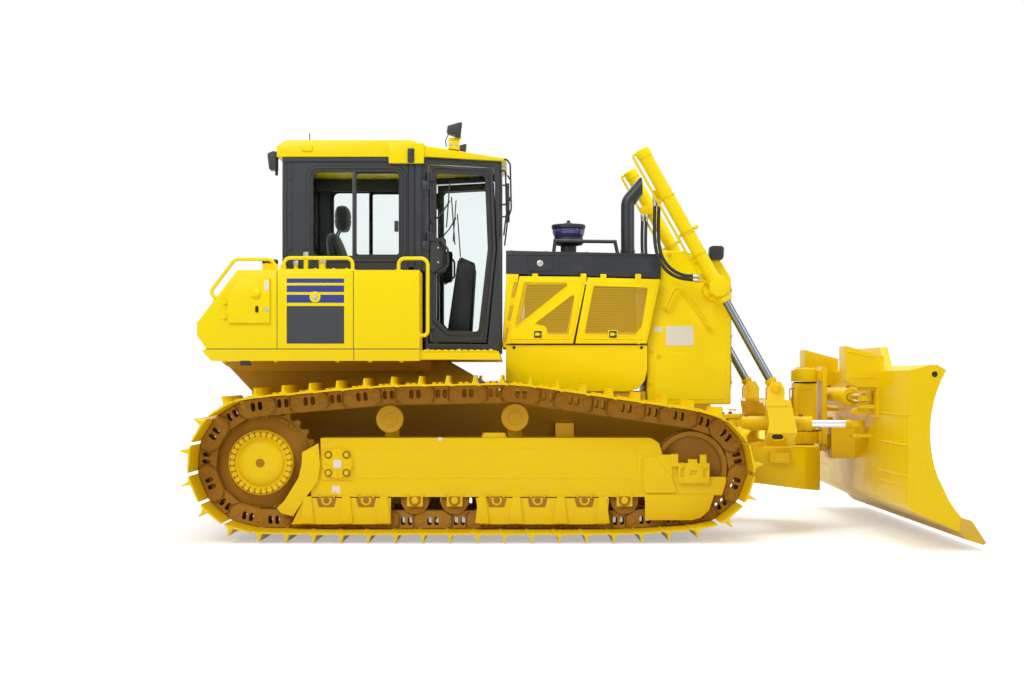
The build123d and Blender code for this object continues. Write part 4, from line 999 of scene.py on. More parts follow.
def rod_shape(start, direction, inner, length, radius, collar, plating=chrome):
    """A plated rod with the painted collar behind its eye."""
    shape = Shape(plating, paint)
    shape.lathe([(0, inner), (radius - 3, inner), (radius, inner + 3), (radius, length - 95),
                 (radius, length - 90)],
                start, direction, 32)
    shape.lathe([(0, length - 92), (radius + 1, length - 92), (collar, length - 88), (collar, length - 60),
                 (radius, length - 40), (0, length - 38)], start, direction, 24, 1)
    return shape


def lift_cylinders():
    """The two lift cylinders with their trunnion blocks, steel pipes and rods."""
    a, e = Vector((1179, -680, 1957)), Vector((1631, -680, 1149))
    length = (e - a).length
    d = (e - a).normalized()
    rear = Vector((d.z, 0, -d.x))
    y_axis = Vector((0, 1, 0))
    for side, s in SIDES:
        shape = Shape(yellow_painted_light, plastic, paint)
        shape.lathe([(0, -1250), (50, -1250), (60, -1241), (61, -1236), (61, -1180), (55, -1172), (55, 84),
                     (60, 90), (60, 126), (56, 130), (38, 130), (34, 120), (34, -1190), (0, -1190)], a, d, 40)
        square_neck(shape, a - d * 60, d, y_axis, 130, 62)
        shape.lathe([(0, 0), (68, 0), (76, 8), (76, 22), (60, 26), (0, 26)], a - y_axis * 50, -y_axis, 36)
        shape.rod(a + y_axis * 50, a + y_axis * 74, 74, 32)
        pipe = ((1238, 50), (1238, 86), (115, 86), (70, 55))
        shape.tube([a - d * up + rear * out for up, out in pipe], 10, 34)
        clamp = a - d * 500
        for step in (-13, 5):
            shape.lathe([(54, step), (63, step), (64, step + 4), (63, step + 8), (54, step + 8)], clamp, d,
                        32, 0, True)
        shape.rod(clamp - rear * 100, clamp - rear * 58, 13, 16, 0, 4)
        shape.rod(clamp + rear * 58, clamp + rear * 98, 13, 16, 0, 4)
        shape.rod(clamp - rear * 92, clamp - rear * 64, 19, 6, 0, 3)
        for up in (300, 820):
            shape.lathe([(54, -9), (59, -7), (59, 7), (54, 9)], a - d * up, d, 32, 2, True)
            shape.rod(a - d * up + rear * 50, a - d * up + rear * 96, 15, 12, 2, 3)
        shape.block(664, 778, -662, -622, 2662, 2728, 6, 2)
        shape.block(1044, 1118, -662, -622, 1995, 2068, 6, 2)
        rod = rod_shape(a, d, -250, length, 33, 45, dark_rod)
        rod.lathe([(0, -32), (50, -32), (55, -27), (55, 27), (50, 32), (0, 32)], e, y_axis, 36, 1)
        if s > 0:
            for one in (shape, rod):
                flip_side(one)
        shape.piece(f"lift_barrel_{side}", f"lift_cylinder_{side}", f"lift_cylinder_{side}")
        rod.piece(f"lift_ram_{side}", f"lift_rod_{side}", f"lift_rod_{side}")


def flip_side(shape):
    """Moves everything so far over to the other side."""
    bmesh.ops.scale(shape.bm, vec=(1, -1, 1), verts=shape.bm.verts)
    bmesh.ops.reverse_faces(shape.bm, faces=shape.bm.faces)


def oil_cylinder(name, bodies, base, eye, pin, radius, ram, gland, inner):
    """A barrel with its base eye and gland, and its rod with the other eye."""
    a, e, pin = Vector(base), Vector(eye), Vector(pin)
    d = (e - a).normalized()
    length = (e - a).length
    shape = Shape(paint, yellow_painted_shade)
    shape.lathe([(0, 72), (radius - 8, 72), (radius, 80), (radius, gland - 60), (radius - 3, gland - 57),
                 (radius - 3, gland - 51), (radius, gland - 48), (radius, gland - 8), (radius - 4, gland),
                 (ram + 4, gland), (ram + 1, gland - 10), (ram + 1, 90), (0, 90)], a, d, 40)
    square_neck(shape, a + d * 20, d, pin, 60, 31)
    eye_ring(shape, a, pin, 48, 36, 23)
    up = Vector((0, 0, 1))
    # the ports in the brown of painted shade
    for h in (108, gland - 90):
        port = a + d * h + up * (radius - 4)
        shape.rod(port, port + up * 22, 17, 6, 1, 3)
    shape.piece(name + "_barrel", bodies[0], bodies[0])
    rod = rod_shape(a, d, inner, length, ram, ram + 4)
    rod.lathe([(0, -25), (51, -25), (55, -21), (55, 21), (51, 25), (0, 25)], e, (0, 0, 1), 36, 1)
    rod.piece(name + "_ram", bodies[1], bodies[1])


def cylinders():
    lift_cylinders()
    for side, s in SIDES:
        oil_cylinder(f"angle_{side}", (f"angle_cylinder_{side}", f"angle_rod_{side}"), (1322, s * 470, 870),
                     (2290, s * 650, 870), (0, 0, 1), 58, 30, 632, 358)
    oil_cylinder("tilt", ("tilt_cylinder", "tilt_rod"), (2240, 400, 1080), (2300, -900, 1080), (1, 0, 0), 75,
                 32, 850, 300)


HOSES = {
    "rear": ((683, 2662), (675, 2462), (683, 2262), (730, 2140), (805, 2058), (920, 2016), (1044, 2013)),
    "front": ((716, 2662), (706, 2454), (716, 2242), (775, 2130), (863, 2065), (955, 2042), (1044, 2048)),
}
HOSE_Y = 642
FERRULE = [(0, 0), (19, 0), (20, 4), (20, 26), (18, 30), (16, 62), (15, 64), (0, 64)]


def hoses():
    """The rubber hoses behind the lift cylinders, with a swaged fitting at each end."""
    for side, s in SIDES:
        body = f"lift_cylinder_{side}"
        for place, route in HOSES.items():
            name = f"lift_hose_{place}_{side}"
            curve = bpy.data.curves.new(name + "_line", "CURVE")
            curve.dimensions = "3D"
            curve.bevel_depth = 0.014
            curve.bevel_resolution = 3
            curve.resolution_u = 10
            spline = curve.splines.new("NURBS")
            spline.points.add(len(route) - 1)
            for spot, (x, z) in zip(spline.points, route):
                spot.co = (x * MM, s * 0.642, z * MM, 1)
            spline.order_u = 3
            spline.use_endpoint_u = True
            curve.materials.append(rubber)
            piece = bpy.data.objects.new(name + "_line", curve)
            bpy.context.scene.collection.objects.link(piece)
            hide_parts(name)
            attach(piece, body)
        shape = Shape(zinc)
        for route in HOSES.values():
            (x0, z0), (x1, z1) = route[0], route[-1]
            shape.lathe(FERRULE, (x0, s * HOSE_Y, z0 + 4), (route[1][0] - x0, 0, route[1][1] - z0), 12)
            shape.lathe(FERRULE, (x1 + 4, s * HOSE_Y, z1), (route[-2][0] - x1, 0, route[-2][1] - z1), 12)
        shape.piece(f"hose_ends_{side}", body)


# ------------------------------------------------------------------ cab
def inset(points, step):
    """An anticlockwise polygon with every side moved inwards."""
    found = []
    for i, corner in enumerate(points):
        a, b, c = Vector(points[i - 1]), Vector(corner), Vector(points[(i + 1) % len(points)])
        u, v = (b - a).normalized(), (c - b).normalized()
        n = Vector((-u.y, u.x))
        m = Vector((-v.y, v.x))
        found.append(tuple(b + (n + m) * (step / (1 + n.dot(m)))))
    return found


def box(x0, x1, z0, z1):
    return [(x0, z0), (x1, z0), (x1, z1), (x0, z1)]


def on_door(shape):
    """Moves what stands in the plane Y = 0 onto the slanted wall of the right-hand door."""
    for vert in shape.bm.verts:
        vert.co.y += (vert.co.x + 1150) * 270 / 610 - 750


def cab_trim():
    """Side window frames, pillars' covers, gutter, mirrors' wires, aerial and roof fittings."""
    shape = Shape(charcoal, rubber, plastic, yellow_painted_light)
    opening = rounded(box(-2040, -1322, 2182, 2876), 62, 5)
    side_plate(shape, [box(-2226, -1276, 2092, 2936), opening], -757, -749, 1.5)
    side_plate(shape,
               [rounded(box(-2075, -1288, 2148, 2910), 92, 6), rounded(box(-2048, -1315, 2175, 2883), 66, 6)],
               -769, -755, 4)
    side_plate(shape,
               [rounded(box(-2050, -1313, 2173, 2885), 68, 6), rounded(box(-2024, -1339, 2199, 2859), 44, 6)],
               -763, -734, 3, 1)
    side_plate(shape,
               [rounded(box(-1700, -1330, 2190, 2868), 30, 4), rounded(box(-1682, -1350, 2210, 2848), 18, 4)],
               -745, -733, 2, 1)
    shape.block(-1715, -1683, -762, -733, 2180, 2880, 4)
    shape.block(-1384, -1352, -758, -734, 2389, 2476, 6, 2)
    for x0, x1, z0, z1, y in ((-1270, -1228, 2080, 2970, -760), (-1218, -1168, 2080, 2970, -763),
                              (-2262, -2232, 2080, 2972, -755), (-2262, -1168, 2940, 2975, -766),
                              (-2262, -1168, 2078, 2112, -760)):
        side_plate(shape, [rounded(box(x0, x1, z0, z1), 6, 2)], y, -748, 2)
    for x, z0, z1 in ((-2190, 2110, 2940), (-1160, 2080, 2960)):
        side_plate(shape, [box(x - 5, x + 5, z0, z1)], -759.5, -749, 1, 1)
    # fittings on the roof
    shape.block(-1276, -1224, -815, -798, 2925, 3040, 8, 2)
    shape.block(-1266, -1234, -822, -812, 2990, 3035, 4, 2)
    shape.block(-2110, -2030, -786, -768, 3022, 3072, 6, 3)
    shape.rod((-2068, -620, 3100), (-2068, -620, 3126), 12, 12, 2, 3)
    shape.rod((-2068, -620, 3120), (-2068, -620, 3185), 3.5, 8, 2, 1)
    # wires of the mirror at the front corner
    for loop in (((-545, -492, 2985), (-500, -525, 2995), (-470, -525, 2950), (-464, -525, 2700),
                  (-486, -525, 2630), (-545, -492, 2630)),
                 ((-545, -488, 2900), (-508, -508, 2905), (-500, -508, 2560), (-522, -505, 2380))):
        shape.tube(loop, 7, 30, 8, 2)
    shape.solid([[(x, -518 - k, z) for x, z in rounded(box(-500 + k, -478 - k, 2580 + k, 2800 - k), 8, 2)]
                 for k in (0, 5)], 0, 2)
    shape.mirrored()
    shape.piece("cab_trim", "machine")
    both_sides_bolts("pillar_bolts", "machine",
                     [(-2212, -757, 2812), (-2214, -757, 2529), (-2216, -757, 2253)], OUT, 13.0, charcoal)
    both_sides_bolts("post_bolts", "machine", [(-1193, -763, z) for z in (2722, 2456, 2212)], OUT, 6.0,
                     charcoal)
    both_sides_bolts("roof_bolts", "machine", [(x, -700, 3108) for x in (-2150, -1800, -1400, -1300)], UP,
                     11.0, zinc)


GLASS = ((-1060, 1700), (-960, 1600), (-720, 1600), (-645, 2270), (-668, 2860), (-1060, 2860))
DOOR = ((-1120, 1506), (-650, 1506), (-575, 2270), (-600, 2930), (-1120, 2930))


def door_trim():
    """Seals, handle, pocket and wiper of the two cab doors."""
    for side, s in SIDES:
        shape = Shape(charcoal, rubber, plastic, zinc)
        side_plate(shape, [rounded(inset(GLASS, -30), 44, 5), rounded(inset(GLASS, 6), 30, 5)], -10, 2, 3, 1)
        side_plate(shape, [rounded(inset(DOOR, 16), 26, 4), rounded(inset(DOOR, 34), 18, 4)], -6, 1, 2)
        side_plate(shape, [rounded(box(-1104, -978, 2070, 2344), 22, 4)], -20, 0, 5, 2)
        shape.tube([(-1012, -4, 2316), (-1012, -42, 2314), (-963, -44, 2254), (-963, -44, 2120),
                    (-1044, -42, 2062), (-1044, -4, 2062)], 9, 34, 10, 2)
        shape.lathe([(0, 0), (24, 0), (24, 8), (16, 14), (16, 26), (10, 30), (0, 30)], (-1084, -2, 1624), OUT,
                    20, 2)
        for a, b in (((-948, -26, 2791), (-975, -26, 2428)), ((-936, -24, 2671), (-909, -24, 2294))):
            shape.rod(a, b, 5, 8, 2, 1)
        shape.rod((-1075, -4, 2470), (-1075, -30, 2470), 16, 14, 2, 3)
        shape.tube([(-1075, -28, 2470), (-1010, -28, 2540), (-948, -26, 2640)], 6, 20, 8, 2)
        for z in (2150, 2265):
            shape.lathe([(0, 0), (8, 0), (7, 4), (0, 5)], (-1040, -19, z), OUT, 12, 3)
        for z in (2268, 2406, 2743, 2881):
            for x in (-1100, -1076):
                shape.lathe([(0, 0), (9, 0), (8, 5), (0, 7)], (x, -14, z - 70 if z > 2300 else z), OUT, 6, 0)
        on_door(shape)
        if s > 0:
            flip_side(shape)
        shape.piece(f"door_trim_{side}", f"cab_door_{side}")


def cushion(name, centre, size, tilt, grooves, nodes=()):
    """A crowned cushion with stitched grooves across it, leaning back by tilt degrees."""
    part = bmesh.new()
    bmesh.ops.create_cube(part, size=2)
    bmesh.ops.subdivide_edges(part, edges=part.edges[:], cuts=17, use_grid_fill=True)
    thin = min(range(3), key=lambda k: size[k])
    wide = [k for k in range(3) if k != thin]
    turn = Matrix.Rotation(radians(-tilt), 3, "Y")
    for vert in part.verts:
        p = vert.co.copy()
        n = p / sum(abs(c) ** 4.5 for c in p) ** (1 / 4.5)
        swell = (1 - n[wide[0]] ** 2) * (1 - n[wide[1]] ** 2)
        depth = sum(2.718 ** (-((n[k] - u) / 0.045) ** 2) for k, u in grooves)
        n[thin] *= 0.8 + 0.35 * swell - 0.14 * min(depth, 1) * (1 if abs(n[thin]) > 0.2 else 0)
        piping = 0.03 * 2.718 ** (-(n[thin] / 0.12) ** 2)
        for k in wide:
            n[k] *= 1 + piping
        vert.co = turn @ Vector([n[k] * size[k] / 2 for k in range(3)]) + Vector(centre)
    shape = Shape(seat_cloth)
    shape.take(part)
    piece = shape.piece(name, "machine", *nodes, smooth=60.0)


def operator_seat():
    """Sprung seat with bolstered cushions, headrest and armrests, on its pedestal."""
    cushion("seat_cushion", (-1640, 0, 1800), (520, 510, 150), 3, ((0, -0.1), (1, -0.62), (1, 0.62)),
            ("seat",))
    cushion("seat_back", (-1880, 0, 2130), (140, 480, 620), 14, ((2, 0.1), (1, -0.6), (1, 0.6)))
    cushion("headrest", (-1868, 0, 2560), (118, 290, 210), 0, ((2, 0.0),))
    for name, y in (("armrest_right", -290), ("armrest_left", 290)):
        cushion(name, (-1700, y, 2010), (330, 70, 62), 2, ((0, 0.5),))
    shape = Shape(plastic, rubber)
    shape.prism([(-1860, 1512), (-1430, 1512), (-1470, 1560), (-1800, 1560)], "Y", -190, 190, 8)
    for i in range(5):
        grow = 12 if i % 2 else 0
        shape.prism(rounded(box(-1820 - grow, -1480 + grow, 1560 + i * 28, 1587 + i * 28), 8, 2), "Y",
                    -170 - grow, 170 + grow, 0, 1)
    shape.prism([(-1880, 1700), (-1420, 1700), (-1400, 1735), (-1900, 1735)], "Y", -235, 235, 8)
    for y in (-70, 70):
        shape.rod((-1935, y, 2380), (-1880, y, 2500), 8, 10)
    for y in (-290, 290):
        shape.tube([(-1880, y * 0.8, 1900), (-1880, y, 1960), (-1800, y, 1985)], 14, 20, 10)
    shape.piece("seat_pedestal", "machine")


# ------------------------------------------------------------------ tanks and rails
RAIL_Y = -1150.0
RAILS = (
    ((-2715, RAIL_Y, 1838), (-2765, RAIL_Y, 1889), (-2574, RAIL_Y, 2143), (-2292, RAIL_Y, 2143),
     (-2250, RAIL_Y, 2055)),
    ((-2200, RAIL_Y, 2055), (-2200, RAIL_Y, 2153), (-1674, RAIL_Y, 2153), (-1674, RAIL_Y, 2055)),
    ((-1322, RAIL_Y, 2055), (-1322, RAIL_Y, 2150), (-1099, RAIL_Y, 2150), (-1099, RAIL_Y, 1560),
     (-1168, RAIL_Y, 1560)),
)
NOSE_RAIL = ((774, -400, 1795), (774, -462, 1795), (854, -462, 1960), (906, -462, 1956), (1136, -462, 1630),
             (1136, -400, 1630))


FOOT = [(0, 0), (30, 0), (30, 5), (20, 9), (0, 9)]


def rails():
    """Round grab rails with their foot plates."""
    shape = Shape(yellow_painted_light)
    for run in RAILS:
        shape.tube(run, 14, 52, 16)
    shape.tube(NOSE_RAIL, 13, 30, 14)
    for x in (-2250, -2200, -1674, -1322):
        shape.lathe(FOOT, (x, RAIL_Y, 2056), (0, 0, 1), 20)
    shape.lathe(FOOT, (-1164, RAIL_Y, 1560), (1, 0, 0), 20)
    shape.lathe(FOOT, (-2722, RAIL_Y, 1838), (-0.8, 0, 0.6), 20)
    for x, z in ((774, 1795), (1136, 1630)):
        shape.lathe([(0, 0), (28, 0), (28, 5), (20, 8), (0, 8)], (x, -402, z), OUT, 20)
    shape.mirrored()
    shape.piece("grab_rails", "machine", "handrails")


TANK_Y = -1180.0          # the tanks' outer face
TANK_DOOR_Y = -1204.0     # the utility doors' outer face


def tank_trim():
    """Stripes, blank panel, seams, filler necks and bolts of the tanks on both fenders."""
    shape = Shape(yellow_painted_light, blue, panel_dark, rubber, zinc)
    y = TANK_Y
    for z0, z1 in ((1961, 1994), (1891, 1941), (1809, 1870)):
        side_plate(shape, [box(-2174, -1736, z0, z1)], y - 1.6, y + 1, 0.4, 1)
    side_plate(shape, [box(-2174, -1736, 1497, 1784)], y - 1.6, y + 1, 0.4, 2)
    for x in (-2248, -1665):
        side_plate(shape, [box(x - 2.5, x + 2.5, 1460, 2056)], y - 0.9, y + 1, 0.2, 3)
    side_plate(shape, [[(-2786, 1453), (-1163, 1453), (-1163, 1459), (-2790, 1459)]], y - 0.9, y + 1, 0.2, 3)
    shape.block(-1664, -1659, -1181, -1100, 1368, 1455, 0.4, 3)
    shape.lathe([(0, 0), (42, 0), (42, 3), (36, 5), (0, 5)], (-1958, y, 1853), OUT, 32)
    # tank lid's rim and the caps of its necks
    side_plate(shape, [rounded(box(-2262, -1676, 2046, 2068), 8, 3)], -1172, -620, 4)
    x, ny = -2347, -870
    shape.lathe([(50, 2050), (58, 2050), (60, 2060), (60, 2130), (50, 2130)], (x, ny, 0), (0, 0, 1), 36, 0,
                True)
    shape.lathe([(0, 2128), (61, 2128), (63, 2134), (63, 2152), (57, 2160), (0, 2160)], (x, ny, 0), (0, 0, 1),
                36, 3)
    for cx, low, high, r in ((-2080, 2066, 2228, 24), (-2160, 2066, 2160, 22), (-1950, 2066, 2176, 34)):
        shape.lathe([(0, low), (r, low), (r, low + 8), (r - 5, low + 12), (r - 5, high - 40), (r, high - 36),
                     (0, high - 36)],
                    (cx, -760, 0), (0, 0, 1), 20)
        shape.lathe([(0, high - 38), (r + 2, high - 38), (r + 3, high - 34), (r + 3, high - 6), (r - 2, high),
                     (0, high)],
                    (cx, -760, 0), (0, 0, 1), 20, 4)
    shape.tube([(-2230, -1080, 2066), (-2230, -1080, 2100), (-2214, -1080, 2112), (-2198, -1080, 2100),
                (-2198, -1080, 2066)],
               7, 14, 8)
    # step ahead of the tank: tread plate and its lip
    shape.block(-1150, -575, -1150, -575, 1438, 1446, 3)
    for i in range(11):
        shape.block(-1130 + i * 50, -1104 + i * 50, -1136, -590, 1444, 1452, 2)
    shape.block(-2530, -2454, -1182, -1120, 1330, 1368, 6, 3)
    shape.mirrored()
    shape.piece("tank_trim", "machine")
    both_sides_bolts("ring_bolt", "machine", [(-1958, y - 5, 1853)], OUT, 15.0, zinc, 1.3)
    both_sides_bolts("tray_bolts", "machine",
                     [(cx, -1150, 1366) for cx in (-2650, -2460, -2260, -1790, -1540, -1300)], (0, 0, -1),
                     16.0, yellow_painted_light)
    both_sides_bolts("step_bolts", "machine", [(cx, -1100, 1452) for cx in (-1100, -860, -620)], UP, 10.0,
                     zinc)
    both_sides_bolts("lid_bolts", "machine", [(cx, -1150, 2068) for cx in (-2100, -1960, -1820, -1720)], UP,
                     10.0, yellow_painted_light)
    for side, s in SIDES:
        door = Shape(yellow_painted_light, painted_hole_shade, zinc, label_white)
        y = TANK_DOOR_Y
        door.lathe([(0, 0), (42, 0), (40, 9), (34, 20), (22, 30), (8, 34), (0, 34)], (-2409, y, 1878), OUT,
                   28)
        side_plate(door, [oblong(-2398, 1758, 36, 64), oblong(-2398, 1758, 26, 54)], y - 5, y + 1, 1.5)
        # the slot is a dark plate of painted shade
        side_plate(door, [oblong(-2398, 1758, 26, 54)], y - 1.4, y + 1, 0.3, 1)
        door.lathe([(0, 0), (18, 0), (18, 5), (14, 8), (4, 8), (4, 6), (0, 6)], (-2325, y, 1758), OUT, 20, 2)
        side_plate(door, [rounded(box(-2342, -2308, 1902, 1978), 5, 2)], y - 2.5, y + 1, 0.6, 3)
        for z in (1921, 1960):
            door.lathe([(0, 0), (5, 0), (4, 2), (0, 3)], (-2325, y - 2, z), OUT, 10, 2)
        if s > 0:
            flip_side(door)
        door.piece(f"utility_trim_{side}", f"utility_door_{side}")


# ------------------------------------------------------------------ engine housing
SCREENS = {
    "rear": (((-363, 2012), (-439, 1658), (-418, 1644), (-5, 1977), (-9, 2008)),
             ((61, 1935), (-273, 1679), (-279, 1665), (-189, 1644), (-168, 1574), (-9, 1574), (8, 1588))),
    "front": (((196, 1984), (120, 1581), (534, 1573), (594, 1646), (647, 1968)),),
}
COVERS = {"rear": ((-480, 1545), (22, 1545), (118, 2026), (-382, 2030)),
          "front": ((90, 1545), (620, 1545), (712, 2008), (184, 2018))}


def inside(x, z, polygon):
    """Whether a point lies in a polygon, by the sides that a line to one side crosses."""
    hit = False
    for (ax, az), (bx, bz) in zip(polygon, polygon[1:] + polygon[:1]):
        if (az > z) != (bz > z) and x < (bx - ax) * (z - az) / (bz - az) + ax:
            hit = not hit
    return hit


def mesh_cell(pitch, hole):
    """One cell of perforated sheet: a hexagon with a round hole in it."""
    shape = Shape()
    angles = [radians(30 + 60 * i) for i in range(6)]
    rims = [[shape.bm.verts.new((r * cos(a), y, r * sin(a))) for a in angles]
            for r, y in ((pitch / 3 ** 0.5, 0), (hole, 0), (hole, 3))]
    walls(shape.bm, rims)
    return template("mesh cell", shape)


def perforated(name, body, polygons, y, pitch=15.0, hole=5.2):
    """Perforated sheet over polygons of (X, Z), as one piece."""
    cell = mesh_cell(pitch, hole)
    places = []
    for polygon in polygons:
        x0, x1 = min(p[0] for p in polygon), max(p[0] for p in polygon)
        z0, z1 = min(p[1] for p in polygon), max(p[1] for p in polygon)
        for row in range(int((z1 - z0) / (pitch * 0.866)) + 1):
            for i in range(int((x1 - x0) / pitch) + 2):
                x, z = x0 + (i + row % 2 / 2) * pitch, z0 + row * pitch * 0.866
                if inside(x, z, polygon):
                    places.append((x, y, z))
    turn = (0, 0, pi if y > 0 else 0)
    mesh = grown_mesh(name, PATTERN, places, [turn] * len(places), Template=cell, Width=1.0, Finish=screen)
    bpy.data.objects.remove(cell)
    placed(name, mesh, (), body)


def engine_sides():
    """Screens, frames, latches and hinge tabs of the engine doors, and the columns' louvres."""
    for side, s in SIDES:
        for place, polygons in SCREENS.items():
            name, body = f"screen_{place}_{side}", f"engine_door_{place}_{side}"
            shape = Shape(bodywork_painted_light, panel_dark, rubber, zinc)
            holes = [rounded(p, 12, 3) for p in polygons]
            side_plate(shape, [rounded(COVERS[place], 16, 3), *holes], -486, -479.5, 2)
            for hole in polygons:
                side_plate(shape, [rounded(inset(hole, 7), 14, 3), rounded(inset(hole, -5), 9, 3)],
                           -489, -484, 1.5)
            x = -247 if place == "rear" else 357
            side_plate(shape, [rounded(box(x - 40, x + 40, 1550, 1622), 10, 3)], -492, -485, 2)
            side_plate(shape, [rounded(box(x - 31, x + 31, 1558, 1614), 8, 3)], -493.5, -490, 0.8, 1)
            shape.solid([[(u, -492 - k, v) for u,
                          v in rounded(box(x - 24 + k, x + 14 - k, 1572 + k, 1600 - k), 5, 2)]
                         for k in (0, 6)], 0)
            shape.lathe([(0, 0), (7, 0), (6, 3), (0, 4)], (x + 22, -493, 1586), OUT, 12, 3)
            for tab in ((-330, 60) if place == "rear" else (220, 500)):
                side_plate(shape, [rounded(box(tab + 36, tab + 84, 2000, 2072), 6, 2)], -488, -479, 2)
            if s > 0:
                flip_side(shape)
            shape.piece(name + "_frame", body)
            perforated(name, body, polygons, s * 483)
    trim = Shape(bodywork_painted_light, rubber, screen, zinc, charcoal)
    for x0, z0, x1, z1 in ((-566, 1526, -498, 1640), (-536, 1700, -470, 1822), (-506, 1884, -446, 2010)):
        slant = (z1 - z0) * 0.2
        side_plate(trim, [rounded([(x0 + 40, z0), (x1 + 12, z0), (x1 + 12 + slant, z1),
                                   (x0 + 40 + slant, z1)], 8, 2)],
                   -452.5, -449, 0.8, 2)
    side_plate(trim, [[(-505, 1500), (636, 1500), (636, 1508), (-505, 1508)]], -454, -449, 1, 1)
    side_plate(trim, [rounded(box(-327, -132, 2092, 2222), 10, 3)], -455, -449, 2, 4)
    trim.lathe([(0, 0), (26, 0), (26, 4), (20, 8), (6, 8), (5, 6), (0, 6)], (-230, -454, 2160), OUT, 24, 3)
    trim.block(-505, 742, -456, -448, 2226, 2236, 2, 4)
    trim.mirrored()
    trim.piece("bay_trim", "machine")
    both_sides_bolts("bay_bolts", "machine",
                     [(-440, -450, 1480), (-440, -450, 1180), (590, -450, 1480), (-290, -455, 2110),
                                              (-170, -455, 2110), (-290, -455, 2206), (-170, -455, 2206)],
                     OUT, 9.0, charcoal)
    both_sides_bolts("hood_bolts", "machine",
                     [(x, -410, 2264 - (x + 505) * 0.0213) for x in (-460, -180, 150, 420, 590)], (0, 0, 1),
                     9.0, zinc)


NOSE_Y = -402.0           # the radiator housing's side


def nose_trim():
    """Covers, bolts and seams on the radiator's housing."""
    shape = Shape(bodywork_painted_light, panel_dark, rubber, label_white, plastic)
    y = NOSE_Y
    side_plate(shape, [rounded(box(700, 1270, 1060, 1440), 40, 4)], y - 4, y + 1, 1.5)
    side_plate(shape, [rounded(box(790, 1016, 1498, 1656), 12, 3)], y - 2, y + 1, 0.6, 3)
    side_plate(shape, [rounded(box(692, 765, 1608, 1648), 6, 2)], y - 2, y + 1, 0.6, 3)
    side_plate(shape, [[(742, 2030), (748, 2030), (748, 2262), (742, 2262)]], y - 1, y + 1, 0.2, 2)
    side_plate(shape, [[(927, 2262), (933, 2262), (1098, 2209), (1092, 2209)]], y - 1, y + 1, 0.2, 2)
    shape.lathe([(0, 0), (106, 0), (106, 12), (98, 18), (60, 20), (0, 20)], (1179, y - 176, 1957), OUT, 40)
    rim = rounded(box(-336, 336, 1156, 1994), 40, 4)
    hole = rounded(box(-306, 306, 1186, 1964), 24, 4)
    part = plate_mesh([rim, hole], 14, 3)
    part.transform(Matrix(((0, 0, 1, 1323), (1, 0, 0, 0), (0, 1, 0, 0), (0, 0, 0, 1))))
    shape.take(part, 0)
    shape.mirrored()
    shape.piece("nose_trim", "machine")
    turns = [pi / 4 + pi / 2 * i for i in range(4)]
    both_sides_bolts("pod_bolts", "machine",
                     [(1179 + 82 * cos(a), y - 195, 1957 + 82 * sin(a)) for a in turns], OUT, 14.0)
    both_sides_bolts("nose_bolts", "machine", [(674, y, 1444), (660, y, 1186),
                                               (735, y - 4, 1090), (735, y - 4, 1410), (1040, y, 2170),
                                               (820, y, 2230)],
                     OUT, 13.0)
    face = [(1330, u, v) for u in (-321, 321) for v in (1200, 1380, 1575, 1770, 1950)]
    bolts("grille_bolts", "machine", face, (1, 0, 0), 10.0)


def open_edges(geometry):
    return [edge for edge in of_kind(geometry, bmesh.types.BMEdge) if len(edge.link_faces) == 1]


def stacks():
    """Exhaust stack and the air cleaner's intake with its dust bowl."""
    shape = Shape(charcoal)
    part = Shape(charcoal)
    part.tube([(498, -150, 2205), (498, -150, 2690), (640, -150, 2855)], 56, 95, 28)
    bmesh.ops.bisect_plane(part.bm, geom=part.bm.verts[:] + part.bm.edges[:] + part.bm.faces[:],
                           plane_co=(618, -150, 2800), plane_no=(1, 0, 0.05), clear_outer=True)
    # the cut end gets a wall's thickness and a floor some way down the pipe
    made = bmesh.ops.extrude_edge_only(part.bm, edges=open_edges(part.bm.edges))["geom"]
    rim = of_kind(made, bmesh.types.BMVert)
    middle = sum((v.co for v in rim), Vector()) / len(rim)
    bmesh.ops.scale(part.bm, vec=(0.9, 0.9, 0.9), space=Matrix.Translation(-middle), verts=rim)
    made = bmesh.ops.extrude_edge_only(part.bm, edges=open_edges(made))["geom"]
    bmesh.ops.translate(part.bm, vec=(-60, 0, -90), verts=of_kind(made, bmesh.types.BMVert))
    bmesh.ops.contextual_create(part.bm, geom=open_edges(made))
    shape.take(part.bm)
    shape.lathe([(57, 0), (61, 2), (61, 20), (57, 22)], (498, -150, 2268), (0, 0, 1), 32, 0, True)
    shape.lathe([(57, 0), (72, 0), (72, 6), (60, 14), (57, 14)], (498, -150, 2238), (0, 0, 1), 32, 0, True)
    shape.piece("exhaust", "machine", "exhaust_stack")
    cleaner = Shape(plastic, bowl_blue, rubber)
    cleaner.lathe([(0, 2235), (66, 2235), (66, 2262), (70, 2264), (70, 2284), (66, 2286), (66, 2334),
                   (112, 2344), (122, 2352), (122, 2396), (116, 2406), (0, 2406)], (14.5, 0, 0), (0, 0, 1),
                  44)
    cleaner.lathe([(0, 2404), (118, 2404), (124, 2410), (134, 2440), (134, 2472), (128, 2480), (0, 2480)],
                  (14.5, 0, 0), (0, 0, 1), 44, 1)
    cleaner.lathe([(0, 2478), (137, 2478), (141, 2483), (141, 2508), (134, 2513), (40, 2519), (36, 2526),
                   (16, 2526), (14, 2546), (8, 2550), (0, 2550)], (14.5, 0, 0), (0, 0, 1), 44)
    for i in range(28):
        a = 2 * pi * i / 28
        u, v = cos(a), sin(a)
        cleaner.rod((14.5 + 120 * u, 120 * v, 2412), (14.5 + 133 * u, 133 * v, 2472), 4, 6, 1, 1)
    cleaner.piece("air_precleaner", "machine", "precleaner")


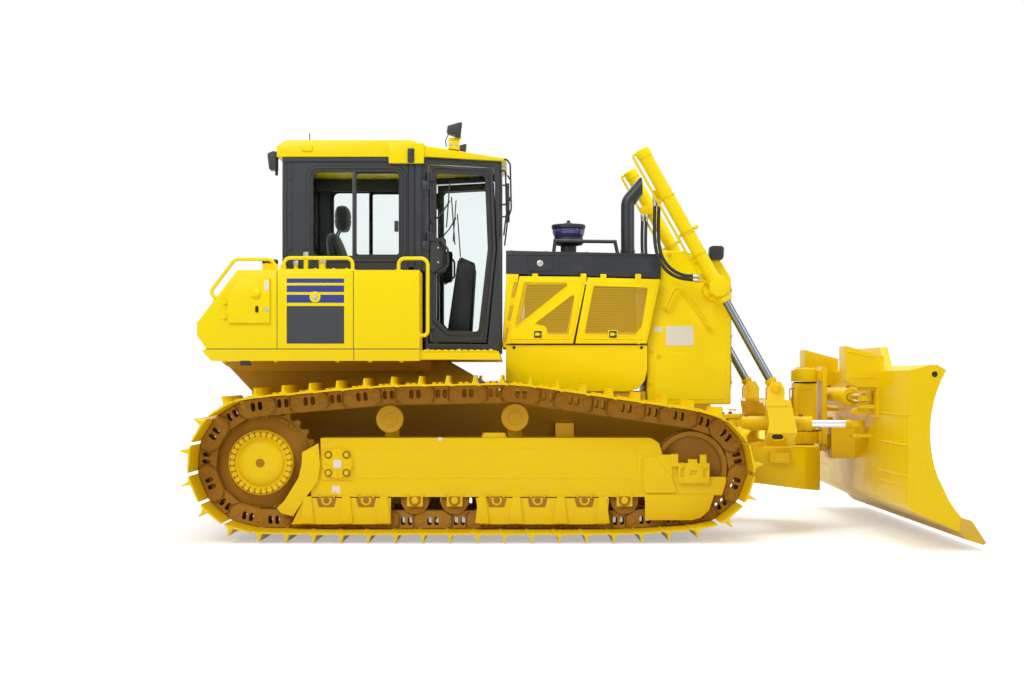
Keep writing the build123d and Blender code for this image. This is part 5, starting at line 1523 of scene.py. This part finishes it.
def work_lamps():
    """Work lamps on the roof, at its rear and on the nose."""
    shape = Shape(plastic, clear_lens, yellow_painted_light, zinc)
    y0, y1 = -668, -552
    shape.prism([(-975, 3186), (-968, 3240), (-868, 3268), (-852, 3266), (-866, 3150), (-884, 3148)], "Y", y0,
                y1, 6)
    shape.prism([(-853, 3260), (-848, 3258), (-861, 3156), (-866, 3158)], "Y", y0 + 8, y1 - 8, 2, 1)
    shape.prism([(-962, 3040), (-874, 3024), (-874, 3122), (-962, 3122)], "Y", -650, -642, 2, 2)
    shape.prism([(-962, 3040), (-874, 3024), (-874, 3050), (-962, 3062)], "Y", -650, -570, 2, 2)
    shape.prism([(-962, 3040), (-874, 3024), (-874, 3150), (-962, 3150)], "Y", -614, -606, 2, 2)
    shape.tube([(-962, -610, 3180), (-986, -610, 3130), (-980, -610, 3080)], 4, 20, 6)
    shape.prism([(-2326, 2892), (-2326, 3034), (-2352, 3040), (-2400, 3020), (-2384, 2890)], "Y", y0, y1, 8)
    shape.prism([(-2398, 3012), (-2404, 3008), (-2390, 2900), (-2384, 2902)], "Y", y0 + 8, y1 - 8, 2, 1)
    shape.block(-2328, -2308, -640, -580, 2985, 3040, 3, 0)
    shape.rod((-2334, -610, 2850), (-2334, -610, 2900), 12, 12, 0, 3)
    shape.prism([(1130, 2200), (1136, 2290), (1160, 2300), (1236, 2298), (1250, 2284), (1244, 2196),
                 (1230, 2186), (1150, 2186)], "Y", -500, -406, 8)
    shape.prism([(1244, 2206), (1252, 2208), (1256, 2280), (1248, 2284)], "Y", -492, -414, 2, 1)
    shape.block(1152, 1200, -440, -400, 2098, 2190, 5, 2)
    for i in range(4):
        shape.block(1142, 1236, -504, -498, 2206 + i * 22, 2214 + i * 22, 1.5)
    shape.mirrored()
    shape.piece("work_lamps", "machine", "lamps")
    both_sides_bolts("lamp_bolts", "machine", [(-944, -650, 3090), (-896, -650, 3090)], OUT, 9.0, zinc)


# ------------------------------------------------------------------ blade and its linkage
def blade_arc(count=14):
    """(X, Z) points down the blade's curved face, on the circle through its top, middle and foot."""
    (ax, az), (bx, bz), (cx, cz) = (2643, 1292), (2529, 843), (2754, 236)
    d = 2 * (ax * (bz - cz) + bx * (cz - az) + cx * (az - bz))
    a, b, c = ax ** 2 + az ** 2, bx ** 2 + bz ** 2, cx ** 2 + cz ** 2
    ux = (a * (bz - cz) + b * (cz - az) + c * (az - bz)) / d
    uz = (a * (cx - bx) + b * (ax - cx) + c * (bx - ax)) / d
    r = hypot(ax - ux, az - uz)
    first, last = atan2(az - uz, ax - ux), atan2(cz - uz, cx - ux)
    last += 2 * pi if last < first else 0
    return [(ux + r * cos(first + (last - first) * i / count),
             uz + r * sin(first + (last - first) * i / count))
            for i in range(count + 1)]


def blade_trim():
    """End plates, weld beads, wear strips, ear pins and edge bolts of the blade."""
    shape = Shape(paint, yellow_painted_shade, painted_hole_shade, steel)
    arc = blade_arc()
    side_plate(shape, [arc + [(x - 46, z - 4) for x, z in reversed(arc)]], -2008, -2003, 1)
    side_plate(shape, [rounded([(2420, 300), (2690, 170), (2748, 232), (2668, 352), (2590, 520), (2420, 520)],
                               14, 3)],
               -2007.5, -2003, 1)
    side_plate(shape, [rounded(box(2392, 2520, 640, 1180), 24, 4)], -2006.5, -2003, 1)
    # a dark disc on the end plate, painted shade for a hole
    shape.lathe([(0, 0), (21, 0), (21, 2), (0, 2)], (2562, -2005, 1262), OUT, 20, 2)
    for z in (968, 754, 531, 457):
        shape.rod((2377, -1985, z), (2377, -1045, z), 6, 8, 0, 1)
    shape.prism([(2123, 1214), (2123, 1226), (2226, 1172), (2226, 1160)], "Y", -1028, -772, 3)
    for rear_z, front_z in ((1238, 1238), (1437, 1395)):
        shape.rod((2140, -1032, rear_z), (2360, -1032, front_z), 5, 8, 0, 1)
    for end in (-1, 1):
        shape.lathe([(0, 0), (44, 0), (44, 10), (36, 16), (14, 16), (12, 24), (0, 24)],
                    (2290, -650, 870 + end * 106), (0, 0, end), 28)
    for y in (-1990, -1500, -1000, -500, -6):
        shape.rod((2752, y, 238), (2752, min(y + 480, -4), 238), 5, 8, 3, 1)
    shape.mirrored()
    for end in (-1, 1):
        shape.lathe([(0, 0), (40, 0), (40, 10), (32, 15), (0, 15)], (2300, -900, 1080 + end * 82),
                    (0, 0, end), 28)
    # plate behind the tilt ears
    shape.block(2361, 2366, -1026, -794, 929, 1221, 2)
    shape.piece("blade_trim", "blade")
    rows, aims = [], []
    for i in range(24):
        y = -1920 + i * 167
        for x, z in ((2846, 189), (2892, 118)):
            rows.append((x, y, z))
            aims.append((0.837, 0, 0.547))
    bolts("edge_bolts", "blade", rows, aims, 15.0, steel, 1.25)


def linkage_trim():
    """Pin caps, covers and welds on the push frame and its bridges."""
    shape = Shape(paint, yellow_painted_shade, painted_hole_shade, rubber)
    # caps of the lift cylinders' pins and the cylinders' base pins
    shape.lathe([(0, 0), (38, 0), (38, 8), (30, 13), (0, 13)], (1631, -756, 1149), OUT, 28)
    shape.lathe([(0, 0), (30, 0), (36, 8), (30, 14), (0, 14)], (1322, -470, 972), (0, 0, 1), 24)
    shape.lathe([(0, 0), (58, 0), (64, 6), (64, 12), (54, 18), (20, 18), (16, 26), (0, 26)],
                (-332, -556, 560), OUT, 32)
    # bridge: access hole's rim, weld bead and edge plate; the hole is a dark plate of painted shade
    side_plate(shape, [oblong_flat(1640, 770, 116, 62), oblong_flat(1640, 770, 92, 40)], -757, -751, 2)
    side_plate(shape, [oblong_flat(1640, 770, 92, 40)], -753, -751.2, 0.3, 2)
    shape.rod((1560, -754, 1012), (1735, -754, 1012), 5, 8, 0, 1)
    shape.rod((1580, -642, 640), (1772, -642, 640), 6, 8, 0, 1)
    shape.block(1590, 1745, -700, -641, 560, 640, 8)
    for x in (960, 1240, 1500):
        shape.rod((x, -557, 470), (x, -557, 620), 5, 8, 0, 1)
    # this block in the brown of painted shade
    shape.block(1130, 1200, -558, -460, 640, 700, 10, 1)
    shape.mirrored()
    # king post's tower: seal ring and grease pipes, the pipes in the brown of painted shade
    shape.lathe([(78, 1190), (96, 1190), (98, 1194), (98, 1201), (78, 1203)], (1990, 0, 0), (0, 0, 1), 36, 3,
                True)
    shape.lathe([(90, 792), (116, 792), (118, 796), (116, 799), (90, 799)], (1990, 0, 0), (0, 0, 1), 36, 3,
                True)
    for y in (-60, 60):
        shape.tube([(1886, y, 1150), (1872, y, 1140), (1872, y, 900), (1886, y, 880)], 5, 12, 8, 1)
    shape.piece("push_frame_trim", "c_frame")
    both_sides_bolts("eye_bolts", "c_frame",
                     [(1631 + 26 * u, -767, 1149 + 26 * v) for u in (-0.7, 0.7) for v in (-0.7, 0.7)], OUT,
                     7.0)
    both_sides_bolts("frame_box_bolts", "c_frame", [(1620, -701, 620), (1715, -701, 620), (1620, -701, 580),
                                                    (1715, -701, 580)], OUT, 10.0)
    yoke = Shape(paint, yellow_painted_shade)
    yoke.lathe([(0, 1297), (86, 1297), (90, 1301), (90, 1310), (82, 1316), (30, 1316), (26, 1322), (0, 1322)],
               (1990, 0, 0), (0, 0, 1), 40)
    side_plate(yoke, [rounded(box(2109, 2119, 820, 1180), 4, 2)], -110, 110, 2)
    yoke.lathe([(60, 0), (80, 0), (84, 5), (84, 16), (80, 20), (60, 20)], (2145, 0, 700), (1, 0, 0), 36, 0,
               True)
    yoke.piece("yoke_trim", "swing_yoke")
    cap = [(1990 + 62 * cos(pi / 3 * i), 62 * sin(pi / 3 * i), 1316) for i in range(6)]
    bolts("king_bolts", "swing_yoke", cap, UP, 12.0)


def oblong_flat(x, z, width, height, count=5):
    """A slot with round ends, lying down."""
    return [(x - (v - z), z + (u - x)) for u, v in oblong(x, z, height, width, count)]


def cab_controls():
    """Levers on the consoles, the dash with its screen, and the pedals."""
    shape = Shape(plastic, rubber, panel_dark, zinc)
    for y in (-360, 360):
        shape.lathe([(0, 0), (46, 0), (40, 14), (30, 24), (24, 40), (0, 42)], (-1480, y, 1978), (0, 0, 1), 20,
                    1)
        shape.lathe([(0, 30), (12, 32), (13, 80), (22, 96), (25, 130), (20, 156), (0, 164)], (-1480, y, 1978),
                    (0.12, 0, 1), 18)
        for i in range(3):
            shape.block(-1800 + i * 70, -1756 + i * 70, y - 18, y + 18, 1978, 1990, 4, 3)
        shape.solid([[(x, v, 1978 + k) for x,
                      v in rounded([(-1860 + k / 2, y - 52), (-1560, y - 52), (-1560, y + 52),
                                                            (-1860 + k / 2, y + 52)], 16,
                                   3)] for k in (0, 22)], 5)
    shape.prism([(-905, 2150), (-780, 2110), (-762, 2180), (-880, 2232)], "Y", -200, 200, 12)
    shape.prism([(-912, 2160), (-900, 2156), (-880, 2224), (-890, 2228)], "Y", -150, 150, 4, 2)
    for y in (-120, 0, 120):
        shape.prism([(-1080, 1512), (-1040, 1512), (-980, 1600), (-992, 1612)], "Y", y - 36, y + 36, 5, 1)
    shape.piece("cab_controls", "machine")


def rear_trim():
    """The cover plate on the rear of the hull, with its bolts."""
    shape = Shape(paint, yellow_painted_shade, rubber)
    part = plate_mesh([rounded([(-330, 760), (330, 760), (330, 1080), (-330, 1080)], 40, 4)], 10, 3)
    part.transform(Matrix(((-0.0929, 0, 0.9957, -2454), (1, 0, 0, 0), (0, 1, 0, 0), (0, 0, 0, 1))))
    shape.take(part)
    shape.piece("rear_cover", "machine")
    places = [(-2525 - (z - 760) * 0.0929, y, z) for y in (-290, 0, 290) for z in (800, 1040)]
    bolts("rear_bolts", "machine", places, (-0.99, 0, -0.09), 14.0)


# ------------------------------------------------------------------ assembly
# nodes that the pieces above stand for, and the panes, which only change their material
DRESSED = {"track_right", "track_left", "sprockets", "idlers", "rollers", "cab_glass", "door_glass_right",
           "door_glass_left", "tilt_cylinder", "tilt_rod", "seat", "handrails", "exhaust_stack", "precleaner",
           "lamps"}
DRESSED |= {f"{kind}_{side}" for side, _ in SIDES for kind in (
    "lift_cylinder", "lift_rod", "angle_cylinder", "angle_rod", "lift_hose_rear", "lift_hose_front")}


def solids():
    """The CAD solids that keep their shape, with their edges rounded."""
    finishes = {
        "main_frame": (hull, 8), "drawbar": (hull, 5), "track_frames": (paint, 8), "fender": (yellow_painted_light, 14),
        "utility_door": (yellow_painted_light, 4), "cab": (charcoal, 7), "cab_door": (charcoal, 5), "cab_roof": (yellow_painted_light, 16),
        "console": (plastic, 12), "hood": (charcoal, 9), "engine_bay": (bodywork_painted_light, 6),
        "engine": (engine_paint, 20), "engine_door": (bodywork_painted_light, 4), "radiator_guard": (bodywork_painted_light, 14),
        "front_grille": (charcoal, 3), "c_frame": (paint, 7), "swing_yoke": (paint, 7), "blade": (paint, 4),
        "cutting_edge": (steel, 4)}
    for node in frame["nodes"]:
        if node in DRESSED:
            continue
        # the longest name that the node's own begins with; the lift bridges stay as they are
        key = max((k for k in finishes if node.startswith(k)), key=len, default=None)
        if key:
            softened(node, *finishes[key])
    for node in ("cab_glass", "door_glass_right", "door_glass_left"):
        data = frame["nodes"][node].data
        data.materials.clear()
        data.materials.append(glass)


studio()
hoses()
tracks()
wheels()
frame_fittings()
cylinders()
cab_trim()
door_trim()
operator_seat()
rails()
tank_trim()
engine_sides()
nose_trim()
stacks()
work_lamps()
blade_trim()
linkage_trim()
cab_controls()
rear_trim()
solids()
